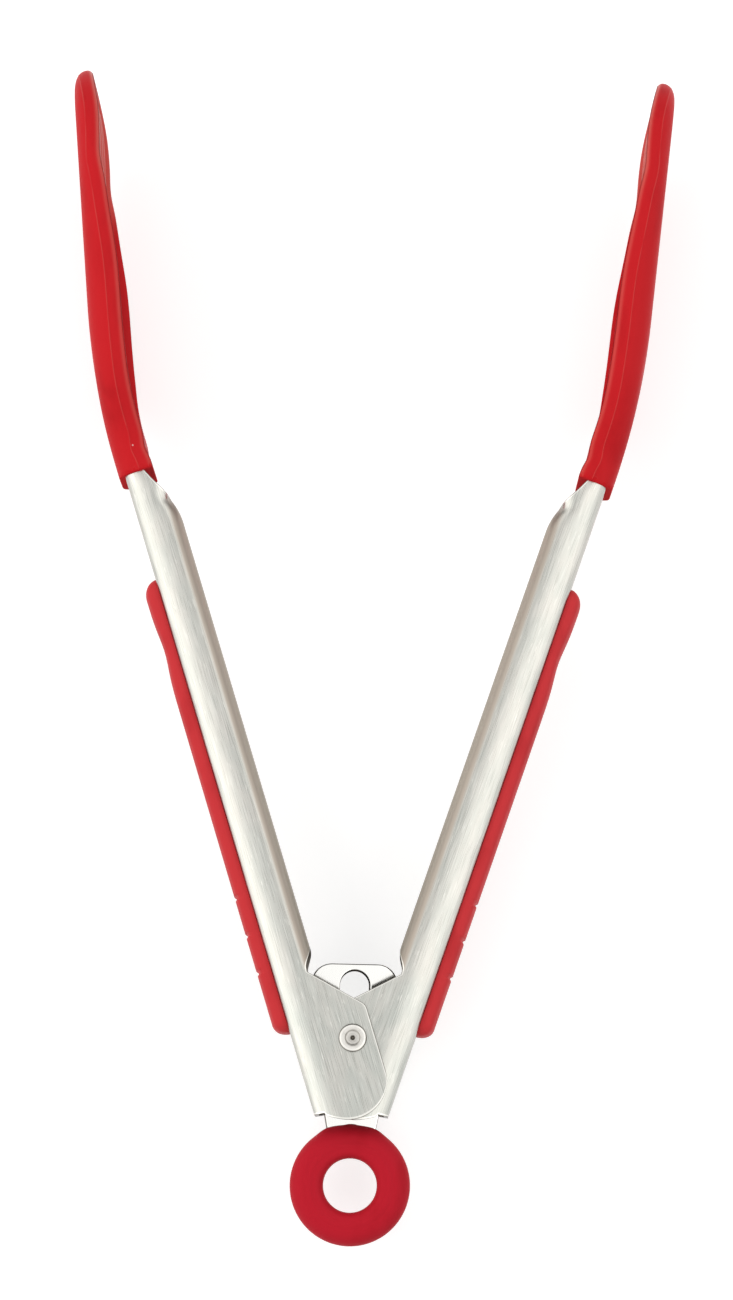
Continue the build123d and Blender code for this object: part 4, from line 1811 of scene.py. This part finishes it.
@dataclass
class Studio:
    """Floor, lamps, world and the camera that looks down on the tongs from above the ring."""

    eye: Triple = (9.4, -7.8, 810.0)
    aim: Triple = (0.9, 110.8, 0.0)
    roll: float = 1.3
    focal_pixels: float = 3922.5
    image_height: float = 1300.0
    sensor: float = 36.0
    clip: Pair = (10.0, 20000.0)
    rest_share: float = 0.7
    floor_size: float = 3000.0
    floor_white: Colour = (0.60, 0.60, 0.60)
    floor_fibre: Colour = (0.591, 0.591, 0.591)
    fibres: Triple = (0.5, 0.5, 0.5)
    floor_lift: float = 0.64
    floor_glow: float = 0.58
    ambient: float = 0.58
    zenith: float = 0.93
    wing: float = 2.15
    left_wing: Wing = Wing((0.0, -0.85), (-0.80, -1.0), 0.45, 1.0)
    right_wing: Wing = Wing((0.0, 0.30), (0.70, 1.0), 0.8, 0.68)
    horizon: Pair = (-0.05, 0.15)
    far_from: Pair = (0.50, 0.80)
    far_shade: float = 0.7
    wing_tint: Colour = (1.0, 0.985, 0.96)
    lamp_tint: Colour = (1.0, 0.975, 0.94)
    lamp_aim: Triple = (0.0, 120.0, 0.0)
    lamps: tuple[Softbox, ...] = (
        Softbox("left_softbox", (-900.0, 60.0, 620.0), (900.0, 1000.0), 5.0),
        Softbox("right_softbox", (900.0, 160.0, 620.0), (900.0, 1000.0), 2.6),
        Softbox("top_softbox", (0.0, 700.0, 900.0), (900.0, 500.0), 1.4),
    )

    def camera(self) -> None:
        """Places the camera by its eye, its aim and its roll."""
        data = bpy.data.cameras.new("camera")
        data.sensor_width = self.sensor
        data.lens = self.focal_pixels / self.image_height * self.sensor
        data.clip_start, data.clip_end = (distance * MM for distance in self.clip)
        made = bpy.data.objects.new("camera", data)
        forward = (Vector(self.aim) - Vector(self.eye)).normalized()
        tilt = np.radians(self.roll)
        right = forward.cross(Vector((-np.sin(tilt), np.cos(tilt), 0.0))).normalized()
        up = right.cross(forward)
        turn = Matrix((right, up, -forward)).transposed().to_4x4()
        made.matrix_world = Matrix.Translation(Vector(self.eye) * MM) @ turn
        bpy.context.scene.collection.objects.link(made)
        bpy.context.scene.camera = made

    def contacts(self) -> list[Array]:
        """The three places that the tongs lie on: both heads' lower rims and the rivet.

        Returns:
            Three points, in metres.
        """
        found = []
        for node in ("left_head", "right_head", "pivot_rivet"):
            low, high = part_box(node)
            y = low.y + (high.y - low.y) * self.rest_share
            found.append(np.array([(low.x + high.x) / 2, y, low.z]))
        found[-1][1] = PIVOT[1] * MM
        return found

    @staticmethod
    def lowest(origin: Array, normal: Array) -> float:
        """How far the lowest point of the tongs lies from a plane, along its normal.

        Args:
            origin: a point of the plane, in metres.
            normal: its upward direction.

        Returns:
            The distance in metres, below zero where a point is under the plane.
        """
        found = []
        for made in bpy.context.scene.objects:
            if made.type == "MESH" and not made.hide_render:
                flat = np.empty(len(made.data.vertices) * 3)
                made.data.vertices.foreach_get("co", flat)
                found.append(((flat.reshape(-1, 3) - origin) @ normal).min())
        return min(found)

    def floor(self) -> None:
        """A pale floor along the places that the tongs lie on, just under their lowest point."""
        left, right, rivet = self.contacts()
        middle = (left + right) / 2
        along = unit(middle - rivet)
        across = unit(right - left)
        normal = np.cross(across, along)
        middle = middle + normal * self.lowest(middle, normal)
        share = np.linspace(-self.floor_size, self.floor_size, 3)
        grid = middle / MM + across * share[:, None, None] + along * share[None, :, None]
        made = Forge.piece("studio_floor", [Patch(grid, np.zeros((3, 3, 2)))], closed=False)
        if made.data.polygons[0].normal.z < 0:
            made.data.flip_normals()
        made.data.materials.append(self.floor_material())

    def floor_material(self) -> bpy.types.Material:
        """Makes white paper that the camera sees lifted to white, and that keeps its shadow.

        Returns:
            The new material.
        """
        g = Graph.of("studio_paper", Roughness=0.9, Specular_IOR_Level=0.1, Emission_Strength=1.0)
        fibre = g.noise(self.fibres, Space.OBJECT)
        g.feed("Base Color", g.mix(self.floor_white, self.floor_fibre, fibre))
        lift = g.ray(Ray.CAMERA) * self.floor_lift + g.ray(Ray.GLOSSY) * self.floor_glow
        g.feed("Emission Color", g.mix(BLACK, WHITE, lift))
        return g.owner

    def world(self) -> None:
        """An even sky. Reflections see soft wings to the left and right, and a darker far end."""
        g = Graph(bpy.data.worlds.new("studio"), {})
        x, y, z = g.split(g.node("ShaderNodeTexCoord", {}, {}, "Generated"))
        far = y.over(*self.far_from)
        wings = (self.left_wing.glow(x) + self.right_wing.glow(x)) * z.over(*self.horizon) * (1.0 - far)
        mirrored = (self.zenith + wings * (self.wing - self.zenith)) * (1.0 - far * self.far_shade)
        seen, glossy, through = (g.ray(kind) for kind in Ray)
        white = seen + through - seen * through
        strength = self.ambient + white * (1.0 - self.ambient) + glossy * (mirrored - self.ambient)
        g.feed("Color", g.mix(WHITE, self.wing_tint, glossy * wings))
        g.feed("Strength", strength)
        bpy.context.scene.world = g.owner

    def build(self) -> None:
        """Sets up the whole studio."""
        self.camera()
        self.floor()
        self.world()
        for lamp in self.lamps:
            lamp.light(self.lamp_aim, self.lamp_tint)
        bpy.context.scene.view_settings.view_transform = "Standard"


def make_materials(seam: float) -> dict[str, bpy.types.Material]:
    """Makes every finish of the tongs.

    Args:
        seam: depth of the moulding seam below a head's rim.

    Returns:
        The materials, by material slot.
    """
    finishes = [
        BrushedSteel(),
        PolishedSteel(),
        TurnedSteel("rivet_steel", (0.95, 0.93, 0.88), (0.10, 0.09, 0.075)),
        TurnedSteel("bush_steel", (0.62, 0.61, 0.59), (0.42, 0.41, 0.40)),
        SpringWire(),
        Silicone("head_silicone", (0.59, 0.012, 0.017), (0.66, 0.070, 0.062), (0.43, 0.006, 0.010),
                 roughness=0.50, index=1.2, seam=seam),
        Silicone("grip_rubber", (0.60, 0.032, 0.038), (0.68, 0.095, 0.095), (0.40, 0.012, 0.016),
                 roughness=0.58, index=1.3),
        Silicone("ring_silicone", (0.515, 0.011, 0.025), (0.60, 0.040, 0.052), (0.40, 0.006, 0.014),
                 roughness=0.55, index=1.2),
        Nylon(),
    ]
    return {finish.name: finish.material() for finish in finishes}


def dress_inner_nodes(materials: dict[str, bpy.types.Material]) -> None:
    """Gives the bush, the spacer and the washer, which keep their own shapes, their finishes.

    Args:
        materials: the finishes, by material slot.
    """
    for node, slot in INNER_NODES.items():
        data = frame["nodes"][node].data
        data.materials.clear()
        data.materials.append(materials[slot])
        LOG.info("%s: kept, finished as %s", node, slot)


def main() -> None:
    """Builds the tongs piece by piece, then the studio round them."""
    logging.basicConfig(level=logging.INFO, format="%(name)s %(message)s")
    arm = Arm()
    head = Head(arm)
    grip = Grip(arm)
    materials = make_materials(head.seam_depth)
    maker = Maker(materials)
    for side in Side:
        for part in (arm, head, grip):
            part.build(side, maker)
    Pivot().build(maker)
    Spring(arm).build(maker)
    Pull().build(maker)
    dress_inner_nodes(materials)
    Studio().build()


if __name__ == "__main__":
    main()
